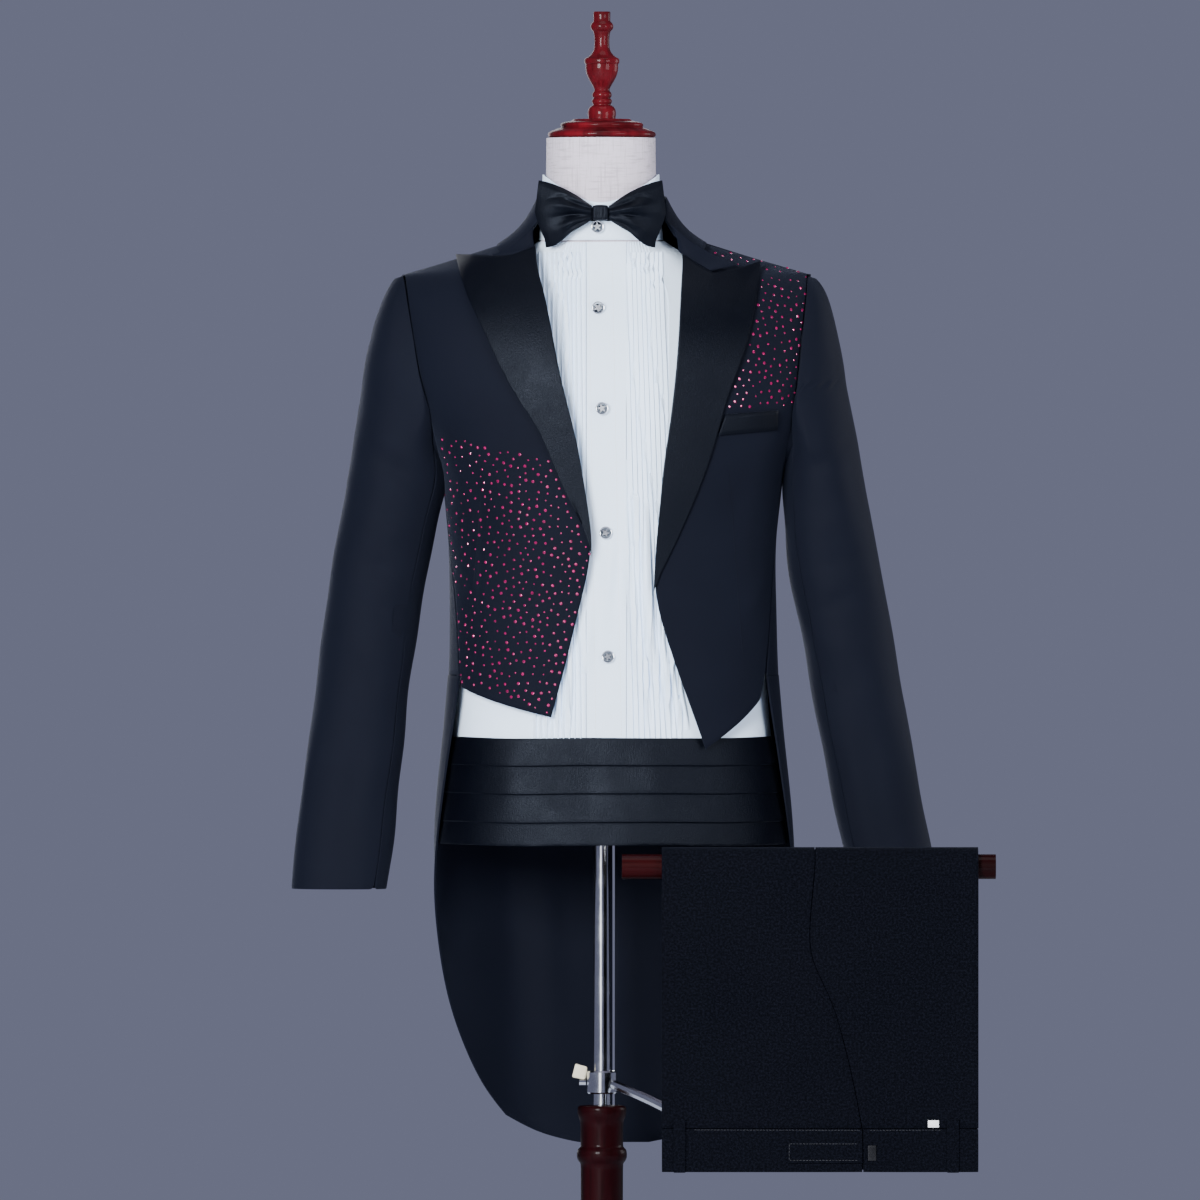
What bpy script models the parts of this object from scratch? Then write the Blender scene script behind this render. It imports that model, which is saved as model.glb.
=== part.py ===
"""Tailcoat evening suit on a limbless dress form with a turned stand.

Metres, +Z up. The front faces -Y and +X is the viewer's right. The origin is
the centre of the base's underside, on the pole's axis. Every cloth piece is an
open surface worked out from the tables below and given its thickness by
Solidify, so neck, hem and cuffs stay open.
"""

from math import acos, asin, cos, degrees, pi, radians, sin, sqrt

import bmesh
import bpy
from mathutils import Vector

# ---------------------------------------------------------------- sizes
GAP = 0.0004                 # between pieces that meet
CLOTH = 0.0018               # coat wool with its interlining
SATIN = 0.0015
SHIRTING = 0.0012
ROUNDNESS = 0.82             # exponent of the torso's cross-section

FORM_BOTTOM_Z = 0.814
FORM_SEGMENTS = 30

# Dress form, bottom to top: height, centre x, half width, front, back
FORM = [
    (0.814, 0.0125, 0.177, 0.106, 0.116),
    (0.895, 0.0105, 0.167, 0.101, 0.106),
    (0.985, 0.0100, 0.159, 0.097, 0.092),
    (1.085, 0.0105, 0.158, 0.102, 0.087),
    (1.190, 0.0100, 0.167, 0.110, 0.098),
    (1.275, 0.0078, 0.176, 0.107, 0.108),
    (1.330, 0.0050, 0.181, 0.093, 0.106),
    (1.360, 0.0035, 0.178, 0.077, 0.096),
    (1.382, 0.0030, 0.160, 0.066, 0.085),
    (1.398, 0.0025, 0.131, 0.058, 0.075),
    (1.4150, 0.0022, 0.102, 0.055, 0.068),
    (1.4277, 0.0015, 0.080, 0.0545, 0.063),
    (1.440, -0.001, 0.0640, 0.0545, 0.0600),
    (1.478, -0.001, 0.0590, 0.0555, 0.0585),
    (1.515, -0.001, 0.0580, 0.0565, 0.0580),
    (1.550, -0.001, 0.0577, 0.0570, 0.0575),
]

# Coat body, inner face: height, centre x, half width, front, back
CHEST_Z = 1.290
SHOULDER_Z = 1.404
SHOULDER_SLOPE = 0.31
SHOULDER_Y = 0.004
COAT = [
    (0.800, 0.0125, 0.1905, 0.120, 0.134),
    (0.860, 0.0120, 0.1860, 0.116, 0.127),
    (0.920, 0.0120, 0.1790, 0.112, 0.117),
    (0.985, 0.0120, 0.1735, 0.112, 0.105),
    (1.060, 0.0115, 0.1705, 0.116, 0.100),
    (1.130, 0.0115, 0.1720, 0.121, 0.104),
    (1.194, 0.0110, 0.1780, 0.125, 0.112),
    (1.250, 0.0100, 0.1980, 0.126, 0.119),
    (1.290, 0.0080, 0.2120, 0.124, 0.124),
]
# Shoulder arch over the chest: part of the quarter turn, centre x, half width
SHOULDER = [
    (0.00, 0.0080, 0.2120),
    (0.30, 0.0060, 0.2190),
    (0.60, 0.0050, 0.2230),
    (0.85, 0.0040, 0.2200),
    (1.00, 0.0035, 0.2135),
]
ARCH = 0.150                 # length of the arch along the cloth
TOP_LEVEL = CHEST_Z + ARCH
RIDGE_GAP = 0.0004           # fronts and backs stop this far below the shoulder seam
NECKLINE_LEVEL = 1.386       # back neckline at the centre seam
NECKLINE_HALF_WIDTH = 0.083
CENTRE_SEAM_TURN = 0.12

# Armhole: an oval in side view
ARMHOLE_Z = 1.298
ARMHOLE_HALF_HEIGHT = 0.106
ARMHOLE_FRONT = 0.060
ARMHOLE_BACK = 0.066
UNDERARM_Z = ARMHOLE_Z - ARMHOLE_HALF_HEIGHT

# Photo outlines in the front view, x and z.
# Roll line and front edge of the wearer's right front, top to bottom
RIGHT_EDGE = [
    (-0.0830, 1.443), (-0.0710, 1.419), (-0.0590, 1.383), (-0.0520, 1.343),
    (-0.0420, 1.291), (-0.0270, 1.236), (-0.0168, 1.177), (-0.0100, 1.130),
    (-0.0110, 1.104), (-0.0220, 1.064), (-0.0360, 1.004), (-0.0530, 0.9415),
]
LEFT_EDGE = [
    (0.0870, 1.443), (0.0845, 1.419), (0.0820, 1.378), (0.0788, 1.316),
    (0.0725, 1.255), (0.0650, 1.215), (0.0588, 1.147), (0.0535, 1.084),
    (0.0540, 1.068), (0.0635, 1.037), (0.0850, 0.972), (0.1087, 0.9085),
]
RIGHT_HEM_SIDE = (-0.146, 0.9725)
LEFT_HEM_SIDE = (0.167, 0.9620)

# Lapels: gorge and outer edge from the roll line over the peak to the end
RIGHT_LAPEL = [
    (-0.0680, 1.430), (-0.0760, 1.4265), (-0.0900, 1.4185), (-0.1140, 1.4195),
    (-0.1370, 1.4215), (-0.1520, 1.4245), (-0.1440, 1.3890), (-0.1200, 1.3400),
    (-0.1040, 1.3045), (-0.0820, 1.2660), (-0.0690, 1.2520), (-0.0555, 1.2200),
    (-0.0430, 1.1885), (-0.0290, 1.1600), (-0.0185, 1.1430), (-0.0120, 1.1340),
]
LEFT_LAPEL = [
    (0.0835, 1.4230), (0.0960, 1.4130), (0.1100, 1.4035), (0.1280, 1.4060),
    (0.1440, 1.4085), (0.1650, 1.4150), (0.1620, 1.3880), (0.1545, 1.3500),
    (0.1440, 1.3155), (0.1310, 1.2820), (0.1190, 1.2360), (0.1060, 1.1970),
    (0.0930, 1.1640), (0.0780, 1.1290), (0.0650, 1.1010), (0.0575, 1.0870),
]

LAPEL_LIFT = 0.0022          # over the front's cloth
LAPEL_SHOULDER_LIFT = 0.0012

# Collar leaf: degrees from the front, fold radius, fold height, edge radius,
# and how far the leaf hangs under the straight line between them
COLLAR = [
    (64, 0.0735, 1.4620, 0.1150, 0.0038),
    (76, 0.0692, 1.4775, 0.1130, 0.0045),
    (90, 0.0675, 1.4855, 0.1090, 0.0045),
    (120, 0.0690, 1.4890, 0.0960, 0.0010),
    (150, 0.0712, 1.4885, 0.0840, -0.0015),
    (180, 0.0720, 1.4880, 0.0785, -0.0020),
]
COLLAR_FRONT_TURN = 64
COLLAR_END_HOLLOW = 0.0030
COLLAR_LIFT = 0.0013         # its edge over the coat's outer face
# Collar ends in the front view, from the roll line back to the notch: fold x and z, edge x and z
COLLAR_END_LEFT = [
    (0.0812, 1.4310, 0.0885, 1.4225),
    (0.0790, 1.4420, 0.1120, 1.4070),
    (0.0745, 1.4540, 0.1400, 1.4120),
]
COLLAR_END_RIGHT = [
    (-0.0705, 1.4330, -0.0775, 1.4290),
    (-0.0715, 1.4430, -0.0940, 1.4215),
    (-0.0715, 1.4540, -0.1130, 1.4225),
]

# Back skirts (tails): height, edge angle from the front
TAIL_TOP_Z = 0.985
TAIL_EDGE = [
    (0.985, 65.2), (0.950, 67), (0.915, 70), (0.865, 72), (0.812, 76),
    (0.765, 92), (0.711, 103), (0.643, 114), (0.588, 125), (0.545, 136),
    (0.516, 147), (0.498, 158), (0.490, 167), (0.4865, 172),
]

# Sleeves: height, outer x, inner x, front y, back y (viewer's left, then right)
SLEEVE_R = [
    (1.4035, -0.2160, -0.2125, -0.003, 0.010),
    (1.3880, -0.2280, -0.2070, -0.032, 0.042),
    (1.3500, -0.2440, -0.2000, -0.055, 0.064),
    (1.2980, -0.2530, -0.1930, -0.062, 0.071),
    (1.2400, -0.2580, -0.1830, -0.060, 0.072),
    (1.1900, -0.2640, -0.1720, -0.055, 0.069),
    (1.1200, -0.2790, -0.1810, -0.052, 0.062),
    (1.0500, -0.2900, -0.1930, -0.054, 0.054),
    (0.9800, -0.3000, -0.2010, -0.056, 0.044),
    (0.9000, -0.3100, -0.2090, -0.058, 0.034),
    (0.8200, -0.3190, -0.2200, -0.060, 0.024),
    (0.7600, -0.3260, -0.2270, -0.061, 0.018),
]
SLEEVE_L = [
    (1.4035, 0.2225, 0.2190, -0.003, 0.010),
    (1.3880, 0.2360, 0.2140, -0.032, 0.042),
    (1.3500, 0.2460, 0.2120, -0.055, 0.064),
    (1.2980, 0.2540, 0.2090, -0.062, 0.071),
    (1.2400, 0.2640, 0.2040, -0.060, 0.072),
    (1.1900, 0.2710, 0.1990, -0.055, 0.069),
    (1.1200, 0.2850, 0.1920, -0.052, 0.062),
    (1.0500, 0.2980, 0.2080, -0.052, 0.056),
    (0.9800, 0.3100, 0.2200, -0.052, 0.050),
    (0.9000, 0.3260, 0.2350, -0.050, 0.044),
    (0.8200, 0.3420, 0.2520, -0.048, 0.038),
    (0.7600, 0.3530, 0.2640, -0.047, 0.035),
]
FRONT_SEAM_TURN = 46         # degrees from the sleeve's front towards the body
BACK_SEAM_TURN = 158
SEAM_TURN = 0.9              # half the gap between the two sleeve pieces
SLEEVE_ROUNDNESS = 0.9
SLEEVE_HEIGHTS = [
    0.760, 0.840, 0.920, 1.000, 1.060, 1.120, 1.175, 1.205, 1.230, 1.255, 1.280, 1.300, 1.324,
    1.352, 1.378, 1.394, 1.4012,
]
PITCH_Z = 1.255              # where the back seam runs into the armhole
UNDER_EVEN_Z = 1.175         # the under sleeve's rows are level up to here
UNDER_CLEAR = 0.003          # under the back seam's end
RIM_GAP = 0.0023            # sleeve to armhole, along x and along y

# Shirt
TUCKS = 8                    # pin-tucks on each side of the placket
TUCK_WIDTH = 0.0060
TUCK_HEIGHT = 0.0010
SHIRT_EASE = 0.0016          # shirt's inner face over the form
SIDE_STEPS = 6
PLACKET_LEFT_X = -0.016
PLACKET_RIGHT_X = 0.0255
SHIRT_HEM_Z = 0.820
SHIRT_NECK_Z = 1.440
STUDS = [(-0.0050, 1.4560), (-0.0042, 1.3685), (0.0000, 1.2645), (0.0042, 1.1350), (0.0063, 1.0050)]
STUD_RADIUS = 0.0058
STUD_DEPTH = 0.0032
COLLAR_BOTTOM_Z = 1.4418
COLLAR_FRONT_TOP_Z = 1.4800
COLLAR_SIDE_TOP_Z = 1.5120

# Waist sash
SASH_TOP_Z = 0.920
SASH_BOTTOM_Z = 0.8065
SASH_PLEAT_Z = [0.8905, 0.8610, 0.8310]
SASH_PLEAT_STEP = 0.0016
SASH_EASE = 0.0022           # over the tucks and the placket
SASH_END_TURN = 104          # degrees either side of the front
SASH_COLUMNS = 19
SASH_PLEAT_GAP = 0.0004      # half the height of a pleat's step
STRAP_HEIGHTS = (0.842, 0.862, 0.882)
STRAP_EASE = 0.0042
STRAP_STEPS = 12

# Bow tie
BOW_Z = 1.4705
BOW_KNOT_HALF_WIDTH = 0.0085
BOW_KNOT_HALF_HEIGHT = 0.0085
BOW_FOLDS = 4
BOW_MIDDLE_X = -0.0015
BOW_FRONT_Y = -0.0700
BOW_WING_LENGTH = 0.0560
BOW_SEGMENTS = 20
BOW_SWEEP_BACK = 0.010       # the wing's end lies this much nearer the shirt
BOW_END_HOLLOW = 0.004
BOW_KNOT_DEPTH = 0.0150
BOW_WING = [                 # share of its length, half height, shift of its middle, half depth
    (0.00, 0.0072, 0.0000, 0.0030),
    (0.12, 0.0120, 0.0000, 0.0052),
    (0.35, 0.0205, 0.0005, 0.0066),
    (0.65, 0.0280, 0.0010, 0.0062),
    (0.90, 0.0325, 0.0010, 0.0048),
    (1.00, 0.0330, 0.0010, 0.0030),
]
BAND_EDGES_Z = (1.4620, 1.4765)
BAND_EASE = 0.0052           # over the form and the shirt collar
BAND_CLOTH = 0.0010
BAND_STEPS = 28

# Trousers over the bar
BAR_Z = 0.7860
BAR_Y = -0.150
BAR_RADIUS = 0.0140
BAR_LEFT_X = 0.0210
BAR_RIGHT_X = 0.4115
TROUSER_LEFT_X = 0.0625
TROUSER_RIGHT_X = 0.3930
TROUSER_BOTTOM_Z = 0.4675
WAIST_SEAM_Z = 0.5130
TROUSER_CLOTH = 0.0020
LEG_SWELL = 0.0010
FOLDED_HALF_DEPTH = 0.0050   # hidden layers between bar and outer cloth
BACK_BOTTOM_Z = 0.5060       # lowest fold of the legs behind the bar
TROUSER_FRONT_Z = [0.5133, 0.556, 0.602, 0.642, 0.668, 0.699, 0.750]
TROUSER_BACK_Z = [0.700, 0.600, BACK_BOTTOM_Z]
LAYERS_BOTTOM_Z = 0.4700
LAYERS_GROOVES = [0.0010, 0.0030, 0.0014, 0.0030]    # how far each hidden layer's edge is drawn in
LAYERS_SHARES = [0.0, 0.34, 0.67, 1.0]
WAIST_DEPTH = 0.0028
TAB_CENTRE = (0.2330, 0.4880)                        # x and z, here and below
TAB_SIZE = (0.0780, 0.0018, 0.0220)
LOOP_CENTRES = (("belt_loop_right", 0.0810, 0.4950), ("belt_loop_left", 0.3665, 0.4950))
LOOP_SIZE = (0.0125, 0.0018, 0.0560)
HOOK_CENTRE = (0.2820, 0.4875)
HOOK_SIZE = (0.0085, 0.0012, 0.0160)
TAG_CENTRE = (0.3460, 0.5180)
TAG_SIZE = (0.0115, 0.0008, 0.0075)
# Middle of the trousers from the bar to the waist: x, z
MIDDLE_LINE = [
    (0.2230, 0.8060), (0.2190, 0.7500), (0.2145, 0.6990), (0.2290, 0.6680), (0.2420, 0.6420),
    (0.2530, 0.6020), (0.2640, 0.5560), (0.2715, 0.5130), (0.2730, 0.4675),
]

# Stand
POLE_RADIUS = 0.0095
CLAMP_Z = 0.5555
SLEEVE_TOP_Z = 0.5310
BASE_RADIUS = 0.190
ARM_RADIUS = 0.0050
POLE_IN_FORM = 0.040         # how far the pole's end is inside the form
CLAMP = [                    # radius, height over its middle
    (0.0150, 0.0120), (0.0165, 0.0105), (0.0165, -0.0105), (0.0150, -0.0120),
]
SHANK_X = (-0.0170, -0.0238)
SHANK_RADIUS = 0.0030
KNOB_CENTRE = (-0.0309, 0.0, CLAMP_Z + 0.0010)
KNOB_SIZE = (0.0100, 0.0080, 0.0190)
KNOB_TILT = -20              # degrees
ARM_PATH = [
    (0.0125, -0.0130, CLAMP_Z - 0.0020), (0.0320, -0.0320, 0.5460), (0.0630, -0.0560, 0.5330),
    (0.0950, -0.0850, 0.5150), (0.1300, -0.1150, 0.4960), (0.1600, -0.1370, 0.4850),
    (0.1860, -0.1480, 0.4830), (0.2020, BAR_Y, 0.4920), (0.2080, BAR_Y, 0.5150),
    (0.2080, BAR_Y, BAR_Z - BAR_RADIUS - GAP),
]
# Turned wooden column and base, top to bottom: radius, height
COLUMN = [
    (0.0225, 0.5310), (0.0252, 0.5290), (0.0256, 0.5240), (0.0248, 0.5190), (0.0228, 0.5140),
    (0.0224, 0.5050), (0.0224, 0.4880), (0.0258, 0.4840), (0.0263, 0.4780), (0.0254, 0.4720),
    (0.0224, 0.4680), (0.0222, 0.4400), (0.0225, 0.3000), (0.0232, 0.1600), (0.0300, 0.1450),
    (0.0320, 0.1360), (0.0300, 0.1270), (0.0250, 0.1180), (0.0260, 0.0900), (0.0360, 0.0640),
    (0.0520, 0.0520), (0.0540, 0.0455),
]
BASE = [
    (0.0600, 0.0450), (0.0900, 0.0415), (0.1450, 0.0330), (0.1720, 0.0270), (0.1800, 0.0220),
    (0.1880, 0.0160), (0.1900, 0.0090), (0.1880, 0.0020), (0.1860, 0.0000),
]
# Turned finial, top to bottom: radius, height
FINIAL = [
    (0.0062, 1.6835), (0.0089, 1.6822), (0.0090, 1.6735), (0.0104, 1.6715), (0.0119, 1.6677),
    (0.0104, 1.6636), (0.0086, 1.6615), (0.0078, 1.6520), (0.0086, 1.6440), (0.0130, 1.6375),
    (0.0181, 1.6335), (0.0181, 1.6287), (0.0168, 1.6260), (0.0164, 1.6205), (0.0138, 1.6130),
    (0.0096, 1.6060), (0.0079, 1.6005), (0.0101, 1.5970), (0.0090, 1.5918), (0.0104, 1.5875),
    (0.0092, 1.5848), (0.0135, 1.5825), (0.0148, 1.5774), (0.0142, 1.5704),
]
CAP = [
    (0.0310, 1.5700), (0.0330, 1.5672), (0.0430, 1.5650), (0.0440, 1.5615), (0.0552, 1.5570),
    (0.0567, 1.5535), (0.0545, 1.5505),
]

WOOL = (0.011, 0.014, 0.026)
BLACK_SATIN = (0.012, 0.014, 0.024)
WHITE = (0.80, 0.85, 0.92)
LINEN = (0.72, 0.68, 0.62)
MAHOGANY = (0.115, 0.012, 0.010)
CHROME = (0.72, 0.73, 0.75)
BLACK_METAL = (0.02, 0.02, 0.022)
CREAM = (0.72, 0.66, 0.50)
CRYSTAL = (0.06, 0.07, 0.09)
LABEL = (0.85, 0.85, 0.85)


# ---------------------------------------------------------------- helpers
def collection(name):
    group = bpy.data.collections.new(name)
    bpy.context.scene.collection.children.link(group)
    return group


def material(name, colour, roughness, metallic=0.0):
    finish = bpy.data.materials.new(name)
    finish.use_nodes = True
    shader = finish.node_tree.nodes["Principled BSDF"]
    shader.inputs["Base Color"].default_value = (*colour, 1.0)
    shader.inputs["Roughness"].default_value = roughness
    shader.inputs["Metallic"].default_value = metallic
    return finish


def place(name, mesh, finish, group):
    mesh.materials.append(finish)
    piece = bpy.data.objects.new(name, mesh)
    group.objects.link(piece)
    return piece


def table_row(table, height):
    """Columns of a table at a height, read straight between its rows."""
    low = table[0]
    if height <= low[0]:
        return low[1:]
    for high in table[1:]:
        if height <= high[0]:
            part = (height - low[0]) / (high[0] - low[0])
            return [a + (b - a) * part for a, b in zip(low[1:], high[1:])]
        low = high
    return low[1:]


def smooth_row(table, height):
    """Columns of a table at a height, on a smooth curve through its rows."""
    last = len(table) - 1
    k = 0
    while k < last - 1 and height > table[k + 1][0]:
        k += 1
    span = table[k + 1][0] - table[k][0]
    t = min(max((height - table[k][0]) / span, 0.0), 1.0)
    row = []
    for c in range(1, len(table[0])):
        y0, y1 = table[k][c], table[k + 1][c]
        m0 = (y1 - table[k - 1][c]) / (table[k + 1][0] - table[k - 1][0]) if k else (y1 - y0) / span
        if k + 2 <= last:
            m1 = (table[k + 2][c] - y0) / (table[k + 2][0] - table[k][0])
        else:
            m1 = (y1 - y0) / span
        h = t * t * (3 - 2 * t)
        row.append(y0 + (y1 - y0) * h + span * (m0 * t * (1 - t) ** 2 - m1 * t * t * (1 - t)))
    return row


def power(value, exponent):
    return (1 if value >= 0 else -1) * abs(value) ** exponent


def along(points, part):
    """Point at a part of the length of a line of points, of any dimension."""
    lengths = [0.0]
    for a, b in zip(points, points[1:]):
        lengths.append(lengths[-1] + sqrt(sum((q - p) ** 2 for p, q in zip(a, b))))
    want = part * lengths[-1]
    for k in range(1, len(points)):
        if want <= lengths[k] or k == len(points) - 1:
            span = lengths[k] - lengths[k - 1]
            t = min(max((want - lengths[k - 1]) / span, 0.0), 1.0)
            return tuple(p + (q - p) * t for p, q in zip(points[k - 1], points[k]))


def normal_out(surface, a, b):
    """Outward normal of surface(a, b); a runs round the body, b runs up it."""
    da, db = 0.4, 0.0015
    across = surface(a + da, b) - surface(a - da, b)
    up = surface(a, b + db) - surface(a, b - db)
    return across.cross(up).normalized()


def grid_mesh(name, rows, closed=False):
    """Open surface through rows of points, faces out when rows run round and up."""
    mesh = bpy.data.meshes.new(name)
    count = len(rows[0])
    points = [p for row in rows for p in row]
    faces = []
    for j in range(len(rows) - 1):
        for i in range(count if closed else count - 1):
            k = (i + 1) % count
            faces.append((j * count + i, j * count + k, (j + 1) * count + k, (j + 1) * count + i))
    mesh.from_pydata(points, [], faces)
    mesh.update()
    mesh.shade_smooth()
    return mesh


def cloth(name, rows, thickness, finish, group, closed=False):
    """Cloth wall: an open surface that Solidify thickens outwards."""
    piece = place(name, grid_mesh(name, rows, closed), finish, group)
    wall = piece.modifiers.new("wall", "SOLIDIFY")
    wall.thickness = thickness
    wall.offset = 1.0
    return piece


def solid_loft(name, rings, finish, group):
    """Closed body through closed rings, with flat ends."""
    count = len(rings[0])
    mesh = grid_mesh(name, rings, closed=True)
    shell = bmesh.new()
    shell.from_mesh(mesh)
    shell.verts.ensure_lookup_table()
    last = (len(rings) - 1) * count
    shell.faces.new([shell.verts[i] for i in reversed(range(count))])
    shell.faces.new([shell.verts[last + i] for i in range(count)])
    bmesh.ops.recalc_face_normals(shell, faces=shell.faces)
    shell.to_mesh(mesh)
    shell.free()
    return place(name, mesh, finish, group)


def turned(name, profile, finish, group, segments, centre=(0.0, 0.0)):
    """Turned piece: a profile from top to bottom, closed at the axis, spun round Z."""
    mesh = bpy.data.meshes.new(name)
    outline = [(0.0, profile[0][1])] + list(profile) + [(0.0, profile[-1][1])]
    points = [(radius, 0.0, height) for radius, height in outline]
    mesh.from_pydata(points, [(i, i + 1) for i in range(len(points) - 1)], [])
    piece = place(name, mesh, finish, group)
    piece.location = (centre[0], centre[1], 0.0)
    spin = piece.modifiers.new("spin", "SCREW")
    spin.steps = segments
    spin.render_steps = segments
    spin.use_merge_vertices = True
    spin.merge_threshold = 0.00001
    return piece


def tube(name, points, radius, finish, group, resolution=3):
    """Round rod along points, with filled ends."""
    curve = bpy.data.curves.new(name, "CURVE")
    curve.dimensions = "3D"
    curve.bevel_depth = radius
    curve.bevel_resolution = resolution
    curve.use_fill_caps = True
    line = curve.splines.new("POLY")
    line.points.add(len(points) - 1)
    for point, place_at in zip(line.points, points):
        point.co = (*place_at, 1.0)
    curve.materials.append(finish)
    rod = bpy.data.objects.new(name, curve)
    group.objects.link(rod)
    return rod


def block(name, centre, size, finish, group, rounding=0.0):
    """Box at a place, with rounded edges where rounding is given."""
    mesh = bpy.data.meshes.new(name)
    shape = bmesh.new()
    bmesh.ops.create_cube(shape, size=1.0)
    bmesh.ops.scale(shape, vec=size, verts=shape.verts)
    shape.to_mesh(mesh)
    shape.free()
    piece = place(name, mesh, finish, group)
    piece.location = centre
    if rounding:
        edge = piece.modifiers.new("edge", "BEVEL")
        edge.width = rounding
        edge.segments = 2
    return piece


# ---------------------------------------------------------------- surfaces
def form_surface(turn, height):
    """Point on the dress form at degrees from the front, towards +X."""
    centre, half, front, back = smooth_row(FORM, height)
    s, c = sin(radians(turn)), cos(radians(turn))
    y = -front * power(c, ROUNDNESS) if c >= 0 else -back * power(c, ROUNDNESS)
    return Vector((centre + half * power(s, ROUNDNESS), y, height))


def form_point(turn, height, out):
    return form_surface(turn, height) + normal_out(form_surface, turn, height) * out


def coat_surface(turn, level):
    """Point on the coat body's inner face; above the chest the level follows the arch."""
    s, c = sin(radians(turn)), cos(radians(turn))
    if level <= CHEST_Z:
        centre, half, front, back = smooth_row(COAT, level)
        height, rise, shift = level, 0.0, 0.0
    else:
        part = min((level - CHEST_Z) / ARCH, 1.0)
        centre, half = table_row(SHOULDER, part)
        quarter = part * pi / 2
        depth = max(cos(quarter), 0.0) ** 0.85
        front, back = COAT[-1][3] * depth, COAT[-1][4] * depth
        height = CHEST_Z + (SHOULDER_Z - CHEST_Z) * sin(quarter)
        rise = SHOULDER_SLOPE * half * part
        shift = SHOULDER_Y * part
    side = power(s, ROUNDNESS)
    y = -front * power(c, ROUNDNESS) if c >= 0 else -back * power(c, ROUNDNESS)
    return Vector((centre + half * side, y + shift, height + rise * (1 - abs(side))))


def coat_point(turn, level, out):
    level = min(level, TOP_LEVEL - RIDGE_GAP)
    return coat_surface(turn, level) + normal_out(coat_surface, turn, level) * out


def turn_at(x, level, back=False):
    """Degrees from the front at which the coat's section reaches x."""
    if level <= CHEST_Z:
        centre, half = smooth_row(COAT, level)[:2]
    else:
        centre, half = table_row(SHOULDER, min((level - CHEST_Z) / ARCH, 1.0))
    share = min(max((x - centre) / half, -1.0), 1.0)
    turn = degrees(asin(power(share, 1 / ROUNDNESS)))
    return (180 - turn if turn >= 0 else -180 - turn) if back else turn


def coat_place(x, z):
    """Degrees and level on the coat's front at x and z of the front view."""
    low, high = COAT[0][0], TOP_LEVEL - RIDGE_GAP
    for _ in range(40):
        level = (low + high) / 2
        if coat_surface(turn_at(x, level), level).z < z:
            low = level
        else:
            high = level
    return turn_at(x, level), level


def armhole_place(level, side, back=False):
    """Degrees and level where the armhole crosses a level; side is -1 or 1."""
    height = coat_surface(side * 85, level).z
    lift = min(abs(height - ARMHOLE_Z) / ARMHOLE_HALF_HEIGHT, 1.0)
    depth = (ARMHOLE_BACK if back else ARMHOLE_FRONT) * sqrt(1 - lift * lift)
    if level <= CHEST_Z:
        reach = smooth_row(COAT, level)[3 if back else 2]
    else:
        reach = COAT[-1][4 if back else 3] * max(cos(pi / 2 * (level - CHEST_Z) / ARCH), 0.05) ** 0.85
    share = min(depth / reach, 0.97)
    turn = degrees(acos(share ** (1 / ROUNDNESS)))
    return (side * (180 - turn) if back else side * turn), level


# ---------------------------------------------------------------- coat
FRONT_LEVELS = [
    TOP_LEVEL, 1.426, 1.410, 1.390, 1.365, 1.335, 1.300, 1.260, 1.222, UNDERARM_Z, 1.150,
    1.105, 1.060, 1.015,
]


def side_seam(level):
    """Degrees from the front of the seam between front and back."""
    return table_row([(0.95, 62), (1.06, 71), (1.13, 83), (UNDERARM_Z, 90)], level)[0]


def front_side_place(level, side):
    """Side edge of a front: the armhole, then the side seam."""
    if level > UNDERARM_Z:
        return armhole_place(level, side)
    return side * (side_seam(level) - 0.3), level


def front_rows(edge, hem_side, side, columns):
    """Places (degrees, level) of a front's grid, bottom row first."""
    count = len(FRONT_LEVELS)
    inner = [coat_place(*along(edge, k / count)) for k in range(count)]
    inner.append(coat_place(*edge[-1]))
    outer = [front_side_place(level, side) for level in FRONT_LEVELS]
    outer.append(coat_place(*hem_side))
    rows = []
    for (turn_in, level_in), (turn_out, level_out) in zip(inner, outer):
        row = []
        for i in range(columns):
            t = i / (columns - 1)
            row.append((turn_in + (turn_out - turn_in) * t, level_in + (level_out - level_in) * t))
        rows.append(row if side > 0 else row[::-1])
    return rows[::-1]


def lay(rows, out):
    return [[coat_point(turn, level, out) for turn, level in row] for row in rows]


def make_fronts(wool, group):
    for name, edge, hem_side, side in (
        ("coat_front_right", RIGHT_EDGE, RIGHT_HEM_SIDE, -1),
        ("coat_front_left", LEFT_EDGE, LEFT_HEM_SIDE, 1),
    ):
        cloth(name, lay(front_rows(edge, hem_side, side, 10), 0.0), CLOTH, wool, group)


def make_backs(wool, group):
    levels = [
        TOP_LEVEL, 1.428, 1.413, 1.400, NECKLINE_LEVEL, 1.350, 1.310, 1.265, 1.225, UNDERARM_Z,
        1.135, 1.080, 1.030, 0.985,
    ]
    for name, side in (("coat_back_right", -1), ("coat_back_left", 1)):
        rows = []
        for level in levels:
            centre_turn = 180 - CENTRE_SEAM_TURN
            if level > NECKLINE_LEVEL:
                reach = sqrt((level - NECKLINE_LEVEL) / (TOP_LEVEL - NECKLINE_LEVEL))
                centre_turn = abs(turn_at(side * NECKLINE_HALF_WIDTH * reach, level, back=True))
            if level > UNDERARM_Z:
                edge_turn = abs(armhole_place(level, side, back=True)[0])
            else:
                edge_turn = side_seam(level) + 0.3
            row = []
            for i in range(11):
                t = i / 10
                row.append((side * (edge_turn + (centre_turn - edge_turn) * t), level))
            rows.append(row if side > 0 else row[::-1])
        cloth(name, lay(rows[::-1], 0.0), CLOTH, wool, group)


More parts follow.
